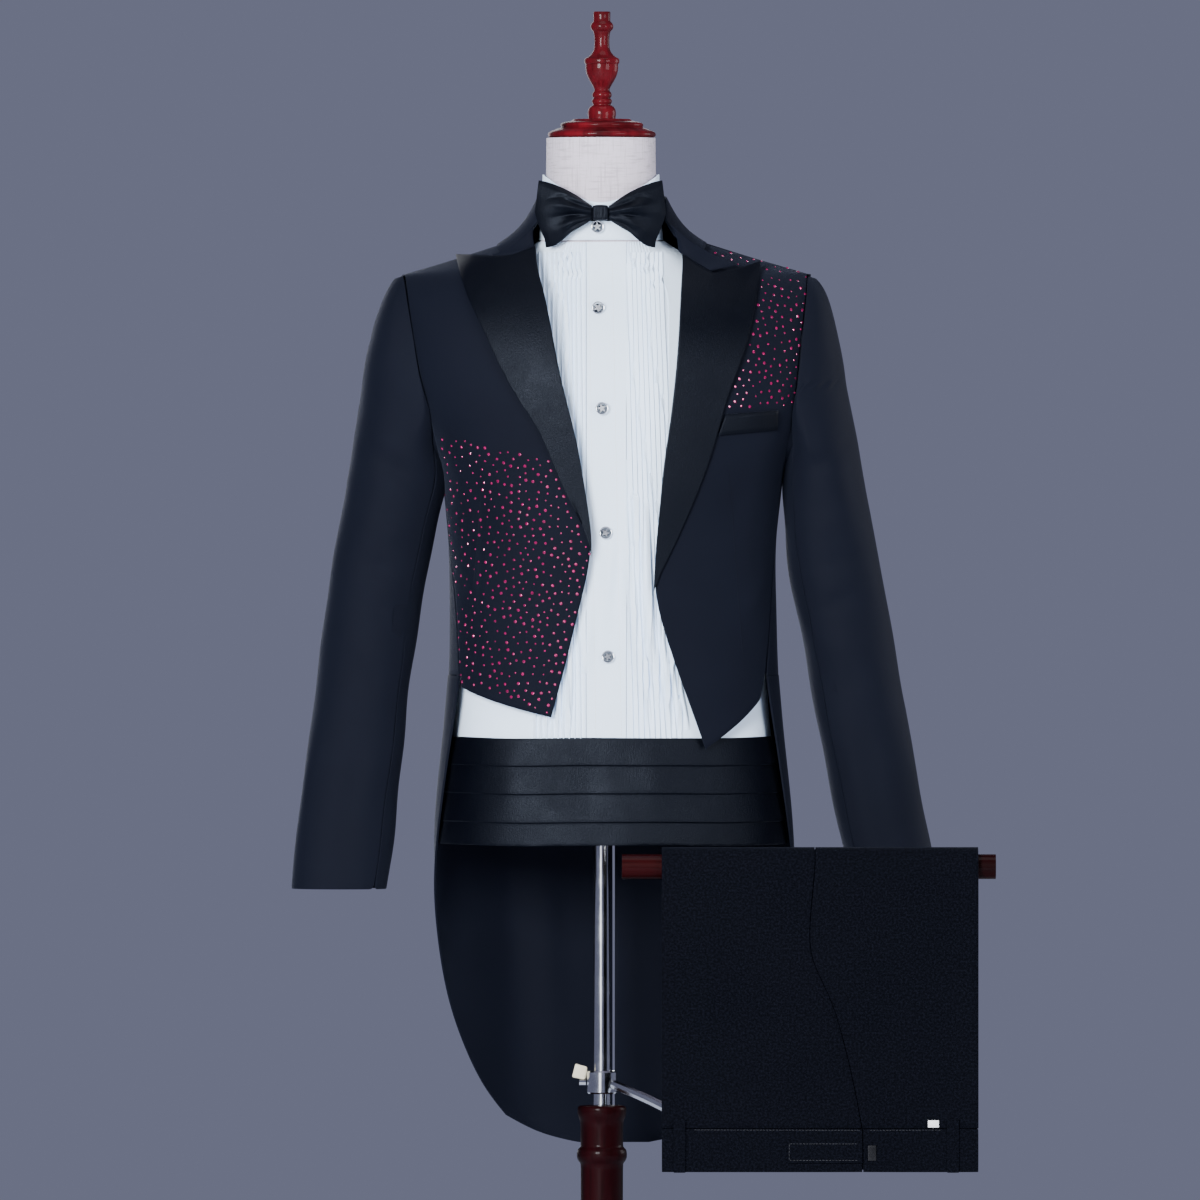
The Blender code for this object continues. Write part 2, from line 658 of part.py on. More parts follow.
def tail_surface(turn, height):
    """Inner face of the hanging skirts: the hip section, eased and lightly fluted."""
    hip = table_row(COAT, max(height, 0.800))
    drop = max(0.800 - height, 0.0)
    centre, half, _, back = hip
    half = half - 0.02 * drop
    back = back + 0.055 * drop
    s, c = sin(radians(turn)), cos(radians(turn))
    flute = 0.0045 * min(drop / 0.1, 1.0) * sin(radians(turn * 9))
    front = hip[2]
    y = -front * power(c, ROUNDNESS) if c >= 0 else -(back + flute) * power(c, ROUNDNESS)
    return Vector((centre + (half + flute * 0.5) * power(s, ROUNDNESS), y, height))


def make_tails(wool, group):
    columns = 11
    for name, side in (("coat_tail_right", -1), ("coat_tail_left", 1)):
        rows = []
        for height, edge in TAIL_EDGE:
            z = height - (GAP if height == TAIL_TOP_Z else 0.0)
            points = []
            for i in range(columns):
                turn = edge + (180 - CENTRE_SEAM_TURN - edge) * i / (columns - 1)
                points.append(tail_surface(side * turn, z))
            rows.append(points if side > 0 else points[::-1])
        cloth(name, rows[::-1], CLOTH, wool, group)


def lapel_rows(outline, edge, side, rows_count, columns):
    """Grid between a lapel's roll line and its gorge, peak and outer edge."""
    gorge, outer = outline[:6], outline[5:]
    roll = [point for point in edge if outer[-1][1] - 0.03 < point[1] < gorge[0][1]]
    roll = [gorge[0]] + roll
    grid = []
    for j in range(rows_count):
        v = j / (rows_count - 1) * 0.985
        start = along(roll, v)
        end = along(outer, v)
        row = []
        for i in range(columns):
            t = i / (columns - 1)
            x = start[0] + (end[0] - start[0]) * t
            z = start[1] + (end[1] - start[1]) * t
            gorge_point = along(gorge, t)
            fade = max(1 - v / 0.16, 0.0)
            straight = gorge[0][1] + (gorge[-1][1] - gorge[0][1]) * t
            z += (gorge_point[1] - straight) * fade
            row.append(coat_place(x, z))
        grid.append(row if side > 0 else row[::-1])
    return grid[::-1]


def make_lapels(satin, group):
    for name, outline, edge, side in (
        ("lapel_right", RIGHT_LAPEL, RIGHT_EDGE, -1),
        ("lapel_left", LEFT_LAPEL, LEFT_EDGE, 1),
    ):
        places = lapel_rows(outline, edge, side, 15, 6)
        rows = []
        for row in places:
            points = []
            for turn, level in row:
                lift = CLOTH + LAPEL_LIFT
                if level > CHEST_Z:
                    lift += LAPEL_SHOULDER_LIFT
                points.append(coat_point(turn, level, lift))
            rows.append(points)
        cloth(name, rows, SATIN, satin, group)


def make_welt(satin, group):
    low, high = [(0.1205, 1.2365), (0.1810, 1.2430)], [(0.1285, 1.2590), (0.1820, 1.2635)]
    rows = []
    for line in (low, high):
        rows.append([coat_place(*along(line, i / 5)) for i in range(6)])
    cloth("welt_pocket", lay(rows, CLOTH + 0.0010), SATIN, satin, group)


def coat_height(x, y):
    """Height of the coat's outer face over a point in plan, near the shoulders."""
    low, high = CHEST_Z, TOP_LEVEL - RIDGE_GAP
    for _ in range(40):
        level = (low + high) / 2
        turn = turn_at(x, level, back=y > SHOULDER_Y)
        if abs(coat_surface(turn, level).y - SHOULDER_Y) > abs(y - SHOULDER_Y):
            low = level
        else:
            high = level
    return coat_surface(turn_at(x, level, back=y > SHOULDER_Y), level).z + CLOTH


def collar_end(table):
    """Edge and fold points of a collar's end on the chest, from the notch to the roll line."""
    pairs = []
    for fold_x, fold_z, edge_x, edge_z in table[::-1]:
        edge = coat_point(*coat_place(edge_x, edge_z), CLOTH + COLLAR_LIFT)
        fold = coat_point(*coat_place(fold_x, table[0][1]), CLOTH + COLLAR_LIFT)
        fold.z = fold_z
        pairs.append((edge, fold, COLLAR_END_HOLLOW))
    return pairs


def make_collar(wool, group):
    """Collar leaf round the neck, from its fold down to the edge on the coat."""
    pairs = []
    count = 21
    for i in range(count):
        behind = COLLAR_FRONT_TURN + 2 * (180 - COLLAR_FRONT_TURN) * i / (count - 1)
        about = behind if behind <= 180 else 360 - behind
        fold_radius, fold_z, edge_radius, hollow = smooth_row(COLLAR, about)
        s, c = sin(radians(behind)), cos(radians(behind))
        edge = Vector((edge_radius * s, -edge_radius * c * 0.95, 0.0))
        edge.z = coat_height(edge.x, edge.y) + COLLAR_LIFT
        pairs.append((edge, Vector((fold_radius * s, -fold_radius * c * 0.95, fold_z)), hollow))
    pairs = collar_end(COLLAR_END_LEFT)[::-1] + pairs + collar_end(COLLAR_END_RIGHT)
    rows = [[], [], [], []]
    for edge, fold, hollow in pairs:
        away = Vector((edge.x - fold.x, edge.y - fold.y, 0.0)).normalized()
        for k, share in enumerate((0.0, 0.33, 0.67, 1.0)):
            sag = hollow * sin(share * pi) * min((edge - fold).length / 0.05, 1.0)
            rows[k].append(edge + (fold - edge) * share - (away + Vector((0, 0, 1))) * sag)
    cloth("coat_collar", rows, CLOTH, wool, group)


def armhole_point(z, side, back):
    """Point of the body's armhole edge at a height, just outside its cloth."""
    low, high = COAT[0][0], TOP_LEVEL - RIDGE_GAP
    for _ in range(30):
        level = (low + high) / 2
        if coat_surface(side * 85, level).z < z:
            low = level
        else:
            high = level
    turn, level = armhole_place(level, side, back)
    return coat_surface(turn, level)


def rim_turn(z, half_depth, reach):
    """Degrees past the sleeve's front or back at which its tube meets the armhole."""
    if z >= ARMHOLE_Z:
        return 0.0
    lift = min((ARMHOLE_Z - z) / ARMHOLE_HALF_HEIGHT, 1.0)
    depth = reach * sqrt(1 - lift * lift)
    return degrees(acos(min(depth / half_depth, 1.0) ** (1 / SLEEVE_ROUNDNESS)))


def sleeve_ring(table, side, z):
    """Middle x and y and half sizes of a sleeve at a height, joined to the armhole above."""
    outer, inner, front, back = smooth_row(table, z)
    middle_x = (outer + inner) / 2
    if z > UNDERARM_Z:
        part = min((z - UNDERARM_Z) / (ARMHOLE_Z - UNDERARM_Z), 1.0)
        rim = (armhole_point(z, side, False).x + armhole_point(z, side, True).x) / 2
        middle_x += (rim - middle_x) * part
    return middle_x, (front + back) / 2, abs(outer - middle_x), (back - front) / 2


def sleeve_point(table, side, turn, z):
    """Point of a sleeve; 0 degrees is its front, 90 its outer side, 180 its back."""
    middle_x, middle_y, half_x, half_y = sleeve_ring(table, side, z)
    s, c = sin(radians(turn)), cos(radians(turn))
    inward = 1.0
    if s < 0:
        inner = smooth_row(table, z)[1]
        inward = abs(inner - middle_x) / half_x
    x = middle_x + side * half_x * inward * power(s, SLEEVE_ROUNDNESS)
    return Vector((x, middle_y - half_y * power(c, SLEEVE_ROUNDNESS), z))


def front_rim(table, side, z):
    return rim_turn(z, sleeve_ring(table, side, z)[3], ARMHOLE_FRONT)


def back_rim(table, side, z):
    return rim_turn(z, sleeve_ring(table, side, z)[3], ARMHOLE_BACK)


def joined_row(table, side, turns, z, pull_front, pull_back):
    """A sleeve row whose first and last points are drawn to the armhole's edge."""
    points = [sleeve_point(table, side, turn, z) for turn in turns]
    count = len(points) - 1
    pulls = []
    if pull_front:
        clear = Vector((side * RIM_GAP, -RIM_GAP, 0))
        pulls.append((0, armhole_point(z, side, False) + clear - points[0]))
    if pull_back:
        clear = Vector((side * RIM_GAP, RIM_GAP, 0))
        pulls.append((count, armhole_point(z, side, True) + clear - points[-1]))
    for end, shift in pulls:
        for i in range(count + 1):
            near = max(1 - abs(i - end) / (count * 0.45), 0.0)
            points[i] = points[i] + shift * near * near
    return points


def make_sleeves(wool, group):
    for which, table, side in (("right", SLEEVE_R, -1), ("left", SLEEVE_L, 1)):
        table = sorted(table)
        rows = []
        for z in SLEEVE_HEIGHTS:
            start, end = -FRONT_SEAM_TURN, BACK_SEAM_TURN
            pull_front = z > UNDERARM_Z and front_rim(table, side, z) <= FRONT_SEAM_TURN
            if pull_front:
                start = -front_rim(table, side, z)
            if z > PITCH_Z:
                rise = min((z - PITCH_Z) / (ARMHOLE_Z - PITCH_Z), 1.0)
                end += (180 - BACK_SEAM_TURN) * rise
            turns = [start + (end - start) * i / 10 for i in range(11)]
            points = joined_row(table, side, turns, z, pull_front, z >= ARMHOLE_Z)
            rows.append(points if side > 0 else points[::-1])
        cloth(f"sleeve_top_{which}", rows, CLOTH, wool, group)

        rows = []
        first = BACK_SEAM_TURN + SEAM_TURN
        last = 360 - FRONT_SEAM_TURN - SEAM_TURN
        turns = [first + (last - first) * i / 7 for i in range(8)]
        tops = [under_top(table, side, turn) for turn in turns]
        for z in SLEEVE_HEIGHTS:
            if z >= PITCH_Z:
                z = tops[0]
            rise = max((z - UNDER_EVEN_Z) / (tops[0] - UNDER_EVEN_Z), 0.0)
            points = []
            for turn, top in zip(turns, tops):
                height = min(z, UNDER_EVEN_Z) + (top - UNDER_EVEN_Z) * rise
                points.append(sleeve_point(table, side, turn, height))
            rows.append(points if side > 0 else points[::-1])
            if z == tops[0]:
                break
        cloth(f"sleeve_under_{which}", rows, CLOTH, wool, group)


def under_top(table, side, turn):
    """Height at which the under sleeve's turn meets the armhole."""
    past = abs(turn - 180) if turn < 270 else 360 - turn
    if turn < 180:
        return PITCH_Z - UNDER_CLEAR
    low, high = UNDERARM_Z - 0.012, ARMHOLE_Z
    for _ in range(30):
        z = (low + high) / 2
        rim = back_rim(table, side, z) if turn < 270 else front_rim(table, side, z)
        if rim > past:
            low = z
        else:
            high = z
    return min(z, PITCH_Z) - UNDER_CLEAR


# ---------------------------------------------------------------- shirt
def make_shirt(white, group):
    out = SHIRT_EASE
    heights = [SHIRT_HEM_Z] + [row[0] for row in FORM if SHIRT_HEM_Z < row[0] <= SHIRT_NECK_Z]

    def turn_for(x, height):
        centre, half = smooth_row(FORM, height)[:2]
        share = min(max((x - centre) / half, -0.98), 0.98)
        return degrees(asin(power(share, 1 / ROUNDNESS)))

    for name, side in (("shirt_front_right", -1), ("shirt_front_left", 1)):
        start = PLACKET_RIGHT_X if side > 0 else PLACKET_LEFT_X
        offsets = [GAP]
        for k in range(TUCKS):
            offsets += [0.002 + k * TUCK_WIDTH + 0.0002, 0.002 + (k + 1) * TUCK_WIDTH - 0.0002]
        inner_rows, outer_rows = [], []
        for height in heights:
            half = smooth_row(FORM, height)[1]
            squeeze = min(half / 0.150, 1.0)
            turns = [turn_for(start + side * step * squeeze, height) for step in offsets]
            last = turns[-1]
            for k in range(1, SIDE_STEPS + 1):
                turns.append(last + (side * 89.8 - last) * k / SIDE_STEPS)
            bumps = [0.0]
            for k in range(TUCKS):
                bumps += [TUCK_HEIGHT, 0.0]
            bumps += [0.0] * SIDE_STEPS
            pairs = list(zip(turns, bumps))
            pairs = pairs if side > 0 else pairs[::-1]
            inner_rows.append([form_point(t, height, out) for t, _ in pairs])
            outer_rows.append([form_point(t, height, out + SHIRTING + bump) for t, bump in pairs])
        two_sided(name, inner_rows, outer_rows, white, group)

    rows = []
    for height in heights:
        rows.append([form_point(90.2 + 179.6 * i / 15, height, out) for i in range(16)])
    cloth("shirt_back", rows, SHIRTING, white, group)

    rows = []
    for height in heights:
        left, right = turn_for(PLACKET_LEFT_X, height), turn_for(PLACKET_RIGHT_X, height)
        rows.append([form_point(left + (right - left) * t, height, out) for t in (0.0, 0.33, 0.67, 1.0)])
    cloth("shirt_placket", rows, SHIRTING + 0.0012, white, group)


def two_sided(name, inner_rows, outer_rows, finish, group):
    """Closed wall between an inner and an outer grid of the same count."""
    rings = []
    for inner, outer in zip(inner_rows, outer_rows):
        rings.append(list(inner) + list(reversed(outer)))
    solid_loft(name, rings, finish, group)


def make_shirt_collar(white, group):
    rows = [[], [], []]
    count = 30
    for i in range(count):
        turn = 360 * i / count
        side = abs(sin(radians(turn)))
        front = cos(radians(turn)) > 0
        top = COLLAR_SIDE_TOP_Z
        if front:
            top = COLLAR_FRONT_TOP_Z + (COLLAR_SIDE_TOP_Z - COLLAR_FRONT_TOP_Z) * side ** 1.3
        for k, share in enumerate((0.0, 0.5, 1.0)):
            height = COLLAR_BOTTOM_Z + (top - COLLAR_BOTTOM_Z) * share
            rows[k].append(form_point(turn, height, SHIRT_EASE + 0.0010 * share))
    cloth("shirt_collar", rows, SHIRTING, white, group, closed=True)


def make_studs(crystal, group):
    heights = [row[0] for row in FORM]
    for k, (x, z) in enumerate(STUDS):
        mesh = bpy.data.meshes.new(f"stud_{k + 1}")
        shape = bmesh.new()
        bmesh.ops.create_cone(shape, cap_ends=True, segments=10, radius1=STUD_RADIUS,
                              radius2=STUD_RADIUS * 0.6, depth=STUD_DEPTH)
        shape.to_mesh(mesh)
        shape.free()
        piece = place(f"stud_{k + 1}", mesh, crystal, group)
        low = max(height for height in heights if height <= z)
        high = min(height for height in heights if height > z)
        centre, half = smooth_row(FORM, z)[:2]
        turn = degrees(asin(power((x - centre) / half, 1 / ROUNDNESS)))
        under = SHIRT_EASE + SHIRTING + 0.0012
        foot, head = form_point(turn, low, under), form_point(turn, high, under)
        facing = normal_out(form_surface, turn, z)
        piece.rotation_mode = "QUATERNION"
        piece.rotation_quaternion = facing.to_track_quat("Z", "Y")
        seat = foot + (head - foot) * (z - low) / (high - low)
        piece.location = seat + facing * (STUD_DEPTH / 2 + 0.0007)


# ---------------------------------------------------------------- bow tie and sash
def make_bow(satin, group):
    for name, side in (("bow_wing_right", -1), ("bow_wing_left", 1)):
        rings = []
        for share, half, shift, depth in BOW_WING:
            x = side * (BOW_KNOT_HALF_WIDTH + GAP + BOW_WING_LENGTH * share) + BOW_MIDDLE_X
            ring = []
            for i in range(BOW_SEGMENTS):
                turn = 2 * pi * i / BOW_SEGMENTS
                fold = 1 + 0.30 * sin(BOW_FOLDS * 2 * turn + 0.6) * (1 - 0.55 * share)
                y = BOW_FRONT_Y - depth * cos(turn) * fold + BOW_SWEEP_BACK * share * share
                z = BOW_Z + shift + half * sin(turn)
                bend = side * BOW_END_HOLLOW * (1 - abs(sin(turn))) * share
                ring.append(Vector((x + bend, y, z)))
            rings.append(ring)
        solid_loft(name, rings, satin, group)
    knot_size = (2 * BOW_KNOT_HALF_WIDTH, BOW_KNOT_DEPTH, 2 * BOW_KNOT_HALF_HEIGHT)
    block("bow_knot", (BOW_MIDDLE_X, BOW_FRONT_Y, BOW_Z), knot_size, satin, group, 0.0035)
    rows = []
    for height in BAND_EDGES_Z:
        rows.append([form_point(360 * i / BAND_STEPS, height, BAND_EASE) for i in range(BAND_STEPS)])
    cloth("bow_band", rows, BAND_CLOTH, satin, group, closed=True)


def make_sash(satin, group):
    edges = [SASH_BOTTOM_Z] + SASH_PLEAT_Z[::-1] + [SASH_TOP_Z]
    profile = []
    for low, high in zip(edges, edges[1:]):
        profile += [(low + SASH_PLEAT_GAP, SASH_PLEAT_STEP), (high - SASH_PLEAT_GAP, 0.0)]
    inner_rows, outer_rows = [], []
    lift = SHIRT_EASE + SHIRTING + SASH_EASE
    for height, bump in profile:
        inner, outer = [], []
        for i in range(SASH_COLUMNS):
            turn = -SASH_END_TURN + 2 * SASH_END_TURN * i / (SASH_COLUMNS - 1)
            hold = max(height, FORM_BOTTOM_Z + 0.0015)
            point = form_point(turn, hold, lift)
            far = form_point(turn, hold, lift + SATIN + bump)
            point.z = height
            far.z = height
            inner.append(point)
            outer.append(far)
        inner_rows.append(inner)
        outer_rows.append(outer)
    two_sided("sash_front", inner_rows, outer_rows, satin, group)
    rows = []
    start = SASH_END_TURN + 0.3
    turns = [start + (360 - 2 * start) * i / STRAP_STEPS for i in range(STRAP_STEPS + 1)]
    for height in STRAP_HEIGHTS:
        rows.append([form_point(turn, height, STRAP_EASE) for turn in turns])
    cloth("sash_strap", rows, SATIN, satin, group)


# ---------------------------------------------------------------- trousers
def fold_path(depth):
    """Side view of a layer over the bar, from the front foot to the back foot."""
    radius = BAR_RADIUS + depth
    path = [(-radius, 0.0)]
    for k in range(1, 6):
        turn = pi * k / 6
        path.append((-radius * cos(turn), radius * sin(turn)))
    path.append((radius, 0.0))
    return path


def make_trousers(wool, metal, label, group):
    base = FOLDED_HALF_DEPTH + GAP

    def middle_x(z):
        return table_row(sorted((z_at, x_at) for x_at, z_at in MIDDLE_LINE), z)[0]

    def skin(name, left, right, lift):
        """Outer leg cloth from the waist seam over the bar and down behind."""
        rows = []
        radius = BAR_RADIUS + base + lift
        profile = [(BAR_Y - radius, z) for z in TROUSER_FRONT_Z]
        for y, z in fold_path(base + lift):
            profile.append((BAR_Y + y, BAR_Z + z))
        profile += [(BAR_Y + radius, z) for z in TROUSER_BACK_Z]
        for k, (y, z) in enumerate(profile):
            over = k >= len(TROUSER_FRONT_Z)
            middle = middle_x(z if not over else 0.80)
            a = left if left is not None else middle + GAP
            b = right if right is not None else middle - GAP
            points = []
            for i in range(5):
                t = i / 4
                swell = LEG_SWELL * sin(t * pi) if z < BAR_Z - 0.01 else 0.0
                outward = -1 if y < BAR_Y else 1
                points.append(Vector((a + (b - a) * t, y + outward * swell, z)))
            rows.append(points)
        cloth(name, rows, TROUSER_CLOTH, wool, group)

    skin("trouser_front_right", TROUSER_LEFT_X, None, 0.0)
    skin("trouser_front_left", None, TROUSER_RIGHT_X, 0.0)

    # Hidden layers: one rounded body over the bar, grooved at its edges
    outer = [(BAR_Y - BAR_RADIUS - FOLDED_HALF_DEPTH, LAYERS_BOTTOM_Z)]
    inner = [(BAR_Y - BAR_RADIUS - GAP, LAYERS_BOTTOM_Z)]
    for (y_out, z_out), (y_in, z_in) in zip(fold_path(FOLDED_HALF_DEPTH), fold_path(GAP)):
        outer.append((BAR_Y + y_out, BAR_Z + z_out))
        inner.append((BAR_Y + y_in, BAR_Z + z_in))
    outer.append((BAR_Y + BAR_RADIUS + FOLDED_HALF_DEPTH, BACK_BOTTOM_Z + 0.003))
    inner.append((BAR_Y + BAR_RADIUS + GAP, BACK_BOTTOM_Z + 0.003))
    rings = []
    for (y_out, z_out), (y_in, z_in) in zip(outer, inner):
        layers = []
        for share, groove in zip(LAYERS_SHARES, LAYERS_GROOVES):
            layers.append((groove, y_in + (y_out - y_in) * share, z_in + (z_out - z_in) * share))
        ring = [Vector((TROUSER_LEFT_X + groove, y, z)) for groove, y, z in layers]
        ring += [Vector((TROUSER_RIGHT_X - groove, y, z)) for groove, y, z in layers[::-1]]
        rings.append(ring)
    solid_loft("trouser_folded_layers", rings, wool, group)

    front_y = BAR_Y - BAR_RADIUS - base
    band_height = WAIST_SEAM_Z - GAP - TROUSER_BOTTOM_Z
    seam_x = middle_x(TROUSER_BOTTOM_Z + band_height / 2)
    for name, a, b in (
        ("waistband_right", TROUSER_LEFT_X, seam_x - GAP),
        ("waistband_left", seam_x + GAP, TROUSER_RIGHT_X),
    ):
        centre = ((a + b) / 2, front_y - WAIST_DEPTH / 2, TROUSER_BOTTOM_Z + band_height / 2)
        block(name, centre, (b - a, WAIST_DEPTH, band_height), wool, group, 0.0008)

    face_y = front_y - WAIST_DEPTH - GAP

    def on_band(name, x, z, size, finish, rounding):
        """Small piece that lies flat on the waistband."""
        block(name, (x, face_y - size[1] / 2, z), size, finish, group, rounding)

    on_band("waist_tab", *TAB_CENTRE, TAB_SIZE, wool, 0.0006)
    for name, x, z in LOOP_CENTRES:
        on_band(name, x, z, LOOP_SIZE, wool, 0.0006)
    on_band("waist_hook", *HOOK_CENTRE, HOOK_SIZE, metal, 0.0003)
    on_band("bare_tag", *TAG_CENTRE, TAG_SIZE, label, 0.0)


# ---------------------------------------------------------------- form and stand
def make_form(linen, group, guides):
    rings = []
    for height, *_ in FORM:
        rings.append([form_surface(360 * i / FORM_SEGMENTS, height) for i in range(FORM_SEGMENTS)])
    form = solid_loft("dress_form", rings, linen, group)
    mesh = bpy.data.meshes.new("pole_socket")
    shape = bmesh.new()
    bmesh.ops.create_cone(shape, cap_ends=True, segments=24, radius1=POLE_RADIUS + GAP,
                          radius2=POLE_RADIUS + GAP, depth=2 * POLE_IN_FORM)
    shape.to_mesh(mesh)
    shape.free()
    socket = bpy.data.objects.new("pole_socket", mesh)
    guides.objects.link(socket)
    socket.location = (0.0, 0.0, FORM_BOTTOM_Z)
    socket.hide_render = True
    socket.display_type = "WIRE"
    bore = form.modifiers.new("bore", "BOOLEAN")
    bore.object = socket
    bore.operation = "DIFFERENCE"


def make_stand(wood, chrome, black, cream, group):
    turned("finial", FINIAL, wood, group, 16)
    turned("neck_cap", CAP, wood, group, 24)
    turned("column", COLUMN, wood, group, 16)
    turned("base", BASE, wood, group, 30)
    pole_top = FORM_BOTTOM_Z + POLE_IN_FORM - GAP
    tube("pole", [(0.0, 0.0, SLEEVE_TOP_Z + GAP), (0.0, 0.0, pole_top)], POLE_RADIUS, chrome, group, 4)
    mesh = bpy.data.meshes.new("clamp")
    bore_radius = POLE_RADIUS + GAP
    outline = [(bore_radius, CLAMP[0][1])] + CLAMP + [(bore_radius, CLAMP[-1][1])]
    points = [(radius, 0.0, CLAMP_Z + height) for radius, height in outline]
    edges = [(i, (i + 1) % len(points)) for i in range(len(points))]
    mesh.from_pydata(points, edges, [])
    ring = place("clamp", mesh, black, group)
    spin = ring.modifiers.new("spin", "SCREW")
    spin.steps = 18
    spin.render_steps = 18
    spin.use_merge_vertices = True
    spin.merge_threshold = 0.00001
    shank = [(x, 0.0, CLAMP_Z) for x in SHANK_X]
    tube("wing_screw_shank", shank, SHANK_RADIUS, chrome, group, 2)
    knob = block("wing_knob", KNOB_CENTRE, KNOB_SIZE, cream, group, 0.0035)
    knob.rotation_euler = (0.0, radians(KNOB_TILT), 0.0)
    tube("trouser_arm", ARM_PATH, ARM_RADIUS, chrome, group, 2)
    bar = [(BAR_LEFT_X, BAR_Y, BAR_Z), (BAR_LEFT_X + 0.02, BAR_Y, BAR_Z),
           (BAR_RIGHT_X - 0.02, BAR_Y, BAR_Z), (BAR_RIGHT_X, BAR_Y, BAR_Z)]
    tube("trouser_bar", bar, BAR_RADIUS - GAP, wood, group, 4)


# ---------------------------------------------------------------- assembly
def main():
    for piece in list(bpy.data.objects):
        bpy.data.objects.remove(piece, do_unlink=True)
    group = collection("evening_suit_on_form")
    guides = collection("guides")
    wool = material("wool", WOOL, 0.85)
    satin = material("black_satin", BLACK_SATIN, 0.35)
    white = material("white_shirting", WHITE, 0.75)
    linen = material("form_linen", LINEN, 0.85)
    wood = material("mahogany", MAHOGANY, 0.25)
    chrome = material("chrome", CHROME, 0.12, 1.0)
    black = material("black_metal", BLACK_METAL, 0.4, 1.0)
    cream = material("cream_plastic", CREAM, 0.4)
    crystal = material("dark_crystal", CRYSTAL, 0.08)
    label = material("bare_label", LABEL, 0.7)

    make_form(linen, group, guides)
    make_stand(wood, chrome, black, cream, group)
    make_shirt(white, group)
    make_shirt_collar(white, group)
    make_studs(crystal, group)
    make_bow(satin, group)
    make_sash(satin, group)
    make_fronts(wool, group)
    make_backs(wool, group)
    make_tails(wool, group)
    make_lapels(satin, group)
    make_welt(satin, group)
    make_collar(wool, group)
    make_sleeves(wool, group)
    make_trousers(wool, black, label, group)


main()
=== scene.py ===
import logging
import math
import random
from dataclasses import dataclass, field
from enum import Enum
from typing import Callable

import bmesh
import bpy
import numpy as np
from mathutils import Matrix, Vector
from mathutils.bvhtree import BVHTree


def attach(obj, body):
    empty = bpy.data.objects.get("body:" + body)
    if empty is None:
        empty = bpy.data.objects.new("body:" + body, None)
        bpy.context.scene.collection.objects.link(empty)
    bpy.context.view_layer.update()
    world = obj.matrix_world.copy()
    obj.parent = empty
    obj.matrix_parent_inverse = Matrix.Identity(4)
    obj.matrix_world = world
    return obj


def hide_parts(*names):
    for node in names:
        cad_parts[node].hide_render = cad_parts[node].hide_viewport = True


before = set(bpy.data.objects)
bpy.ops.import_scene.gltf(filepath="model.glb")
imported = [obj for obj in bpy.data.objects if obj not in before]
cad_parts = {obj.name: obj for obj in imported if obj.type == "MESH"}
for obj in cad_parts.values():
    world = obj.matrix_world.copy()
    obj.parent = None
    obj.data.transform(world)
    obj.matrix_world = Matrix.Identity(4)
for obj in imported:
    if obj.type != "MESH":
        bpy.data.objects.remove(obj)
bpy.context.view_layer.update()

log = logging.getLogger("tuxedo")

BODY = "root"
Colour = tuple[float, float, float]
Point2 = tuple[float, float]
Point3 = tuple[float, float, float]
Piece = bpy.types.Object
Socket = bpy.types.NodeSocket
Material = bpy.types.Material
Rows = tuple[tuple[float, ...], ...]
Line = tuple[Point2, ...]
Rings = tuple[tuple[int, int], ...]
SIDES = (("right", -1), ("left", 1))
TENTHS = 10000  # tenths of a millimetre in a metre
MERGE_WITHIN = 0.00004
WAVE_SCALE = 0.314  # a wave texture's scale for one thread to the metre
LOOK_FROM = -0.6
LOOK_REACH = 0.62


# ------------------------------------------------------------------ small tools
def deselect() -> None:
    """Leave edit mode and select nothing."""
    if bpy.context.object and bpy.context.object.mode != "OBJECT":
        bpy.ops.object.mode_set(mode="OBJECT")
    bpy.ops.object.select_all(action="DESELECT")


def pick(obj: Piece) -> None:
    """Make one object the only selected and active one.

    Args:
        obj: the object to work on.
    """
    deselect()
    obj.select_set(True)
    bpy.context.view_layer.objects.active = obj


def add_modifier(obj: Piece, kind: str, **settings: object) -> None:
    """Add a modifier with its settings and apply it.

    Args:
        obj: the object that gets it.
        kind: Blender's name of the modifier's type.
        settings: the values to set on it.
    """
    modifier = obj.modifiers.new(kind.title(), kind)
    for key, value in settings.items():
        setattr(modifier, key, value)
    pick(obj)
    bpy.ops.object.modifier_apply(modifier=modifier.name)


def settle(obj: Piece) -> None:
    """Put an object's place, turn and size into its mesh."""
    pick(obj)
    bpy.ops.object.transform_apply(location=True, rotation=True, scale=True)


def edit_all() -> None:
    """Enter edit mode with the whole mesh selected."""
    bpy.ops.object.mode_set(mode="EDIT")
    bpy.ops.mesh.select_all(action="SELECT")


def select_faces(obj: Piece, wanted: Callable[[bmesh.types.BMFace], bool]) -> None:
    """Select some faces of the mesh in edit mode.

    Args:
        obj: the object in edit mode.
        wanted: whether a face is selected.
    """
    shape = bmesh.from_edit_mesh(obj.data)
    for face in shape.faces:
        face.select = wanted(face)
    shape.select_flush_mode()
    bmesh.update_edit_mesh(obj.data)


def face_outwards(obj: Piece) -> None:
    """Turn the selected faces outwards, leave edit mode and settle the object."""
    bpy.ops.mesh.normals_make_consistent(inside=False)
    bpy.ops.object.mode_set(mode="OBJECT")
    settle(obj)


def name_object(name: str) -> Piece:
    """Give the object at work and its mesh their name."""
    obj = bpy.context.object
    obj.name = obj.data.name = name
    return obj


def points_of(obj: Piece) -> np.ndarray:
    """The mesh's points as rows of x, y, z."""
    flat = np.empty(len(obj.data.vertices) * 3)
    obj.data.vertices.foreach_get("co", flat)
    return flat.reshape(-1, 3)


def set_points(obj: Piece, points: np.ndarray) -> None:
    """Give the mesh new points.

    Args:
        obj: the object.
        points: rows of x, y, z, one for each point of the mesh.
    """
    obj.data.vertices.foreach_set("co", points.reshape(-1))
    obj.data.update()


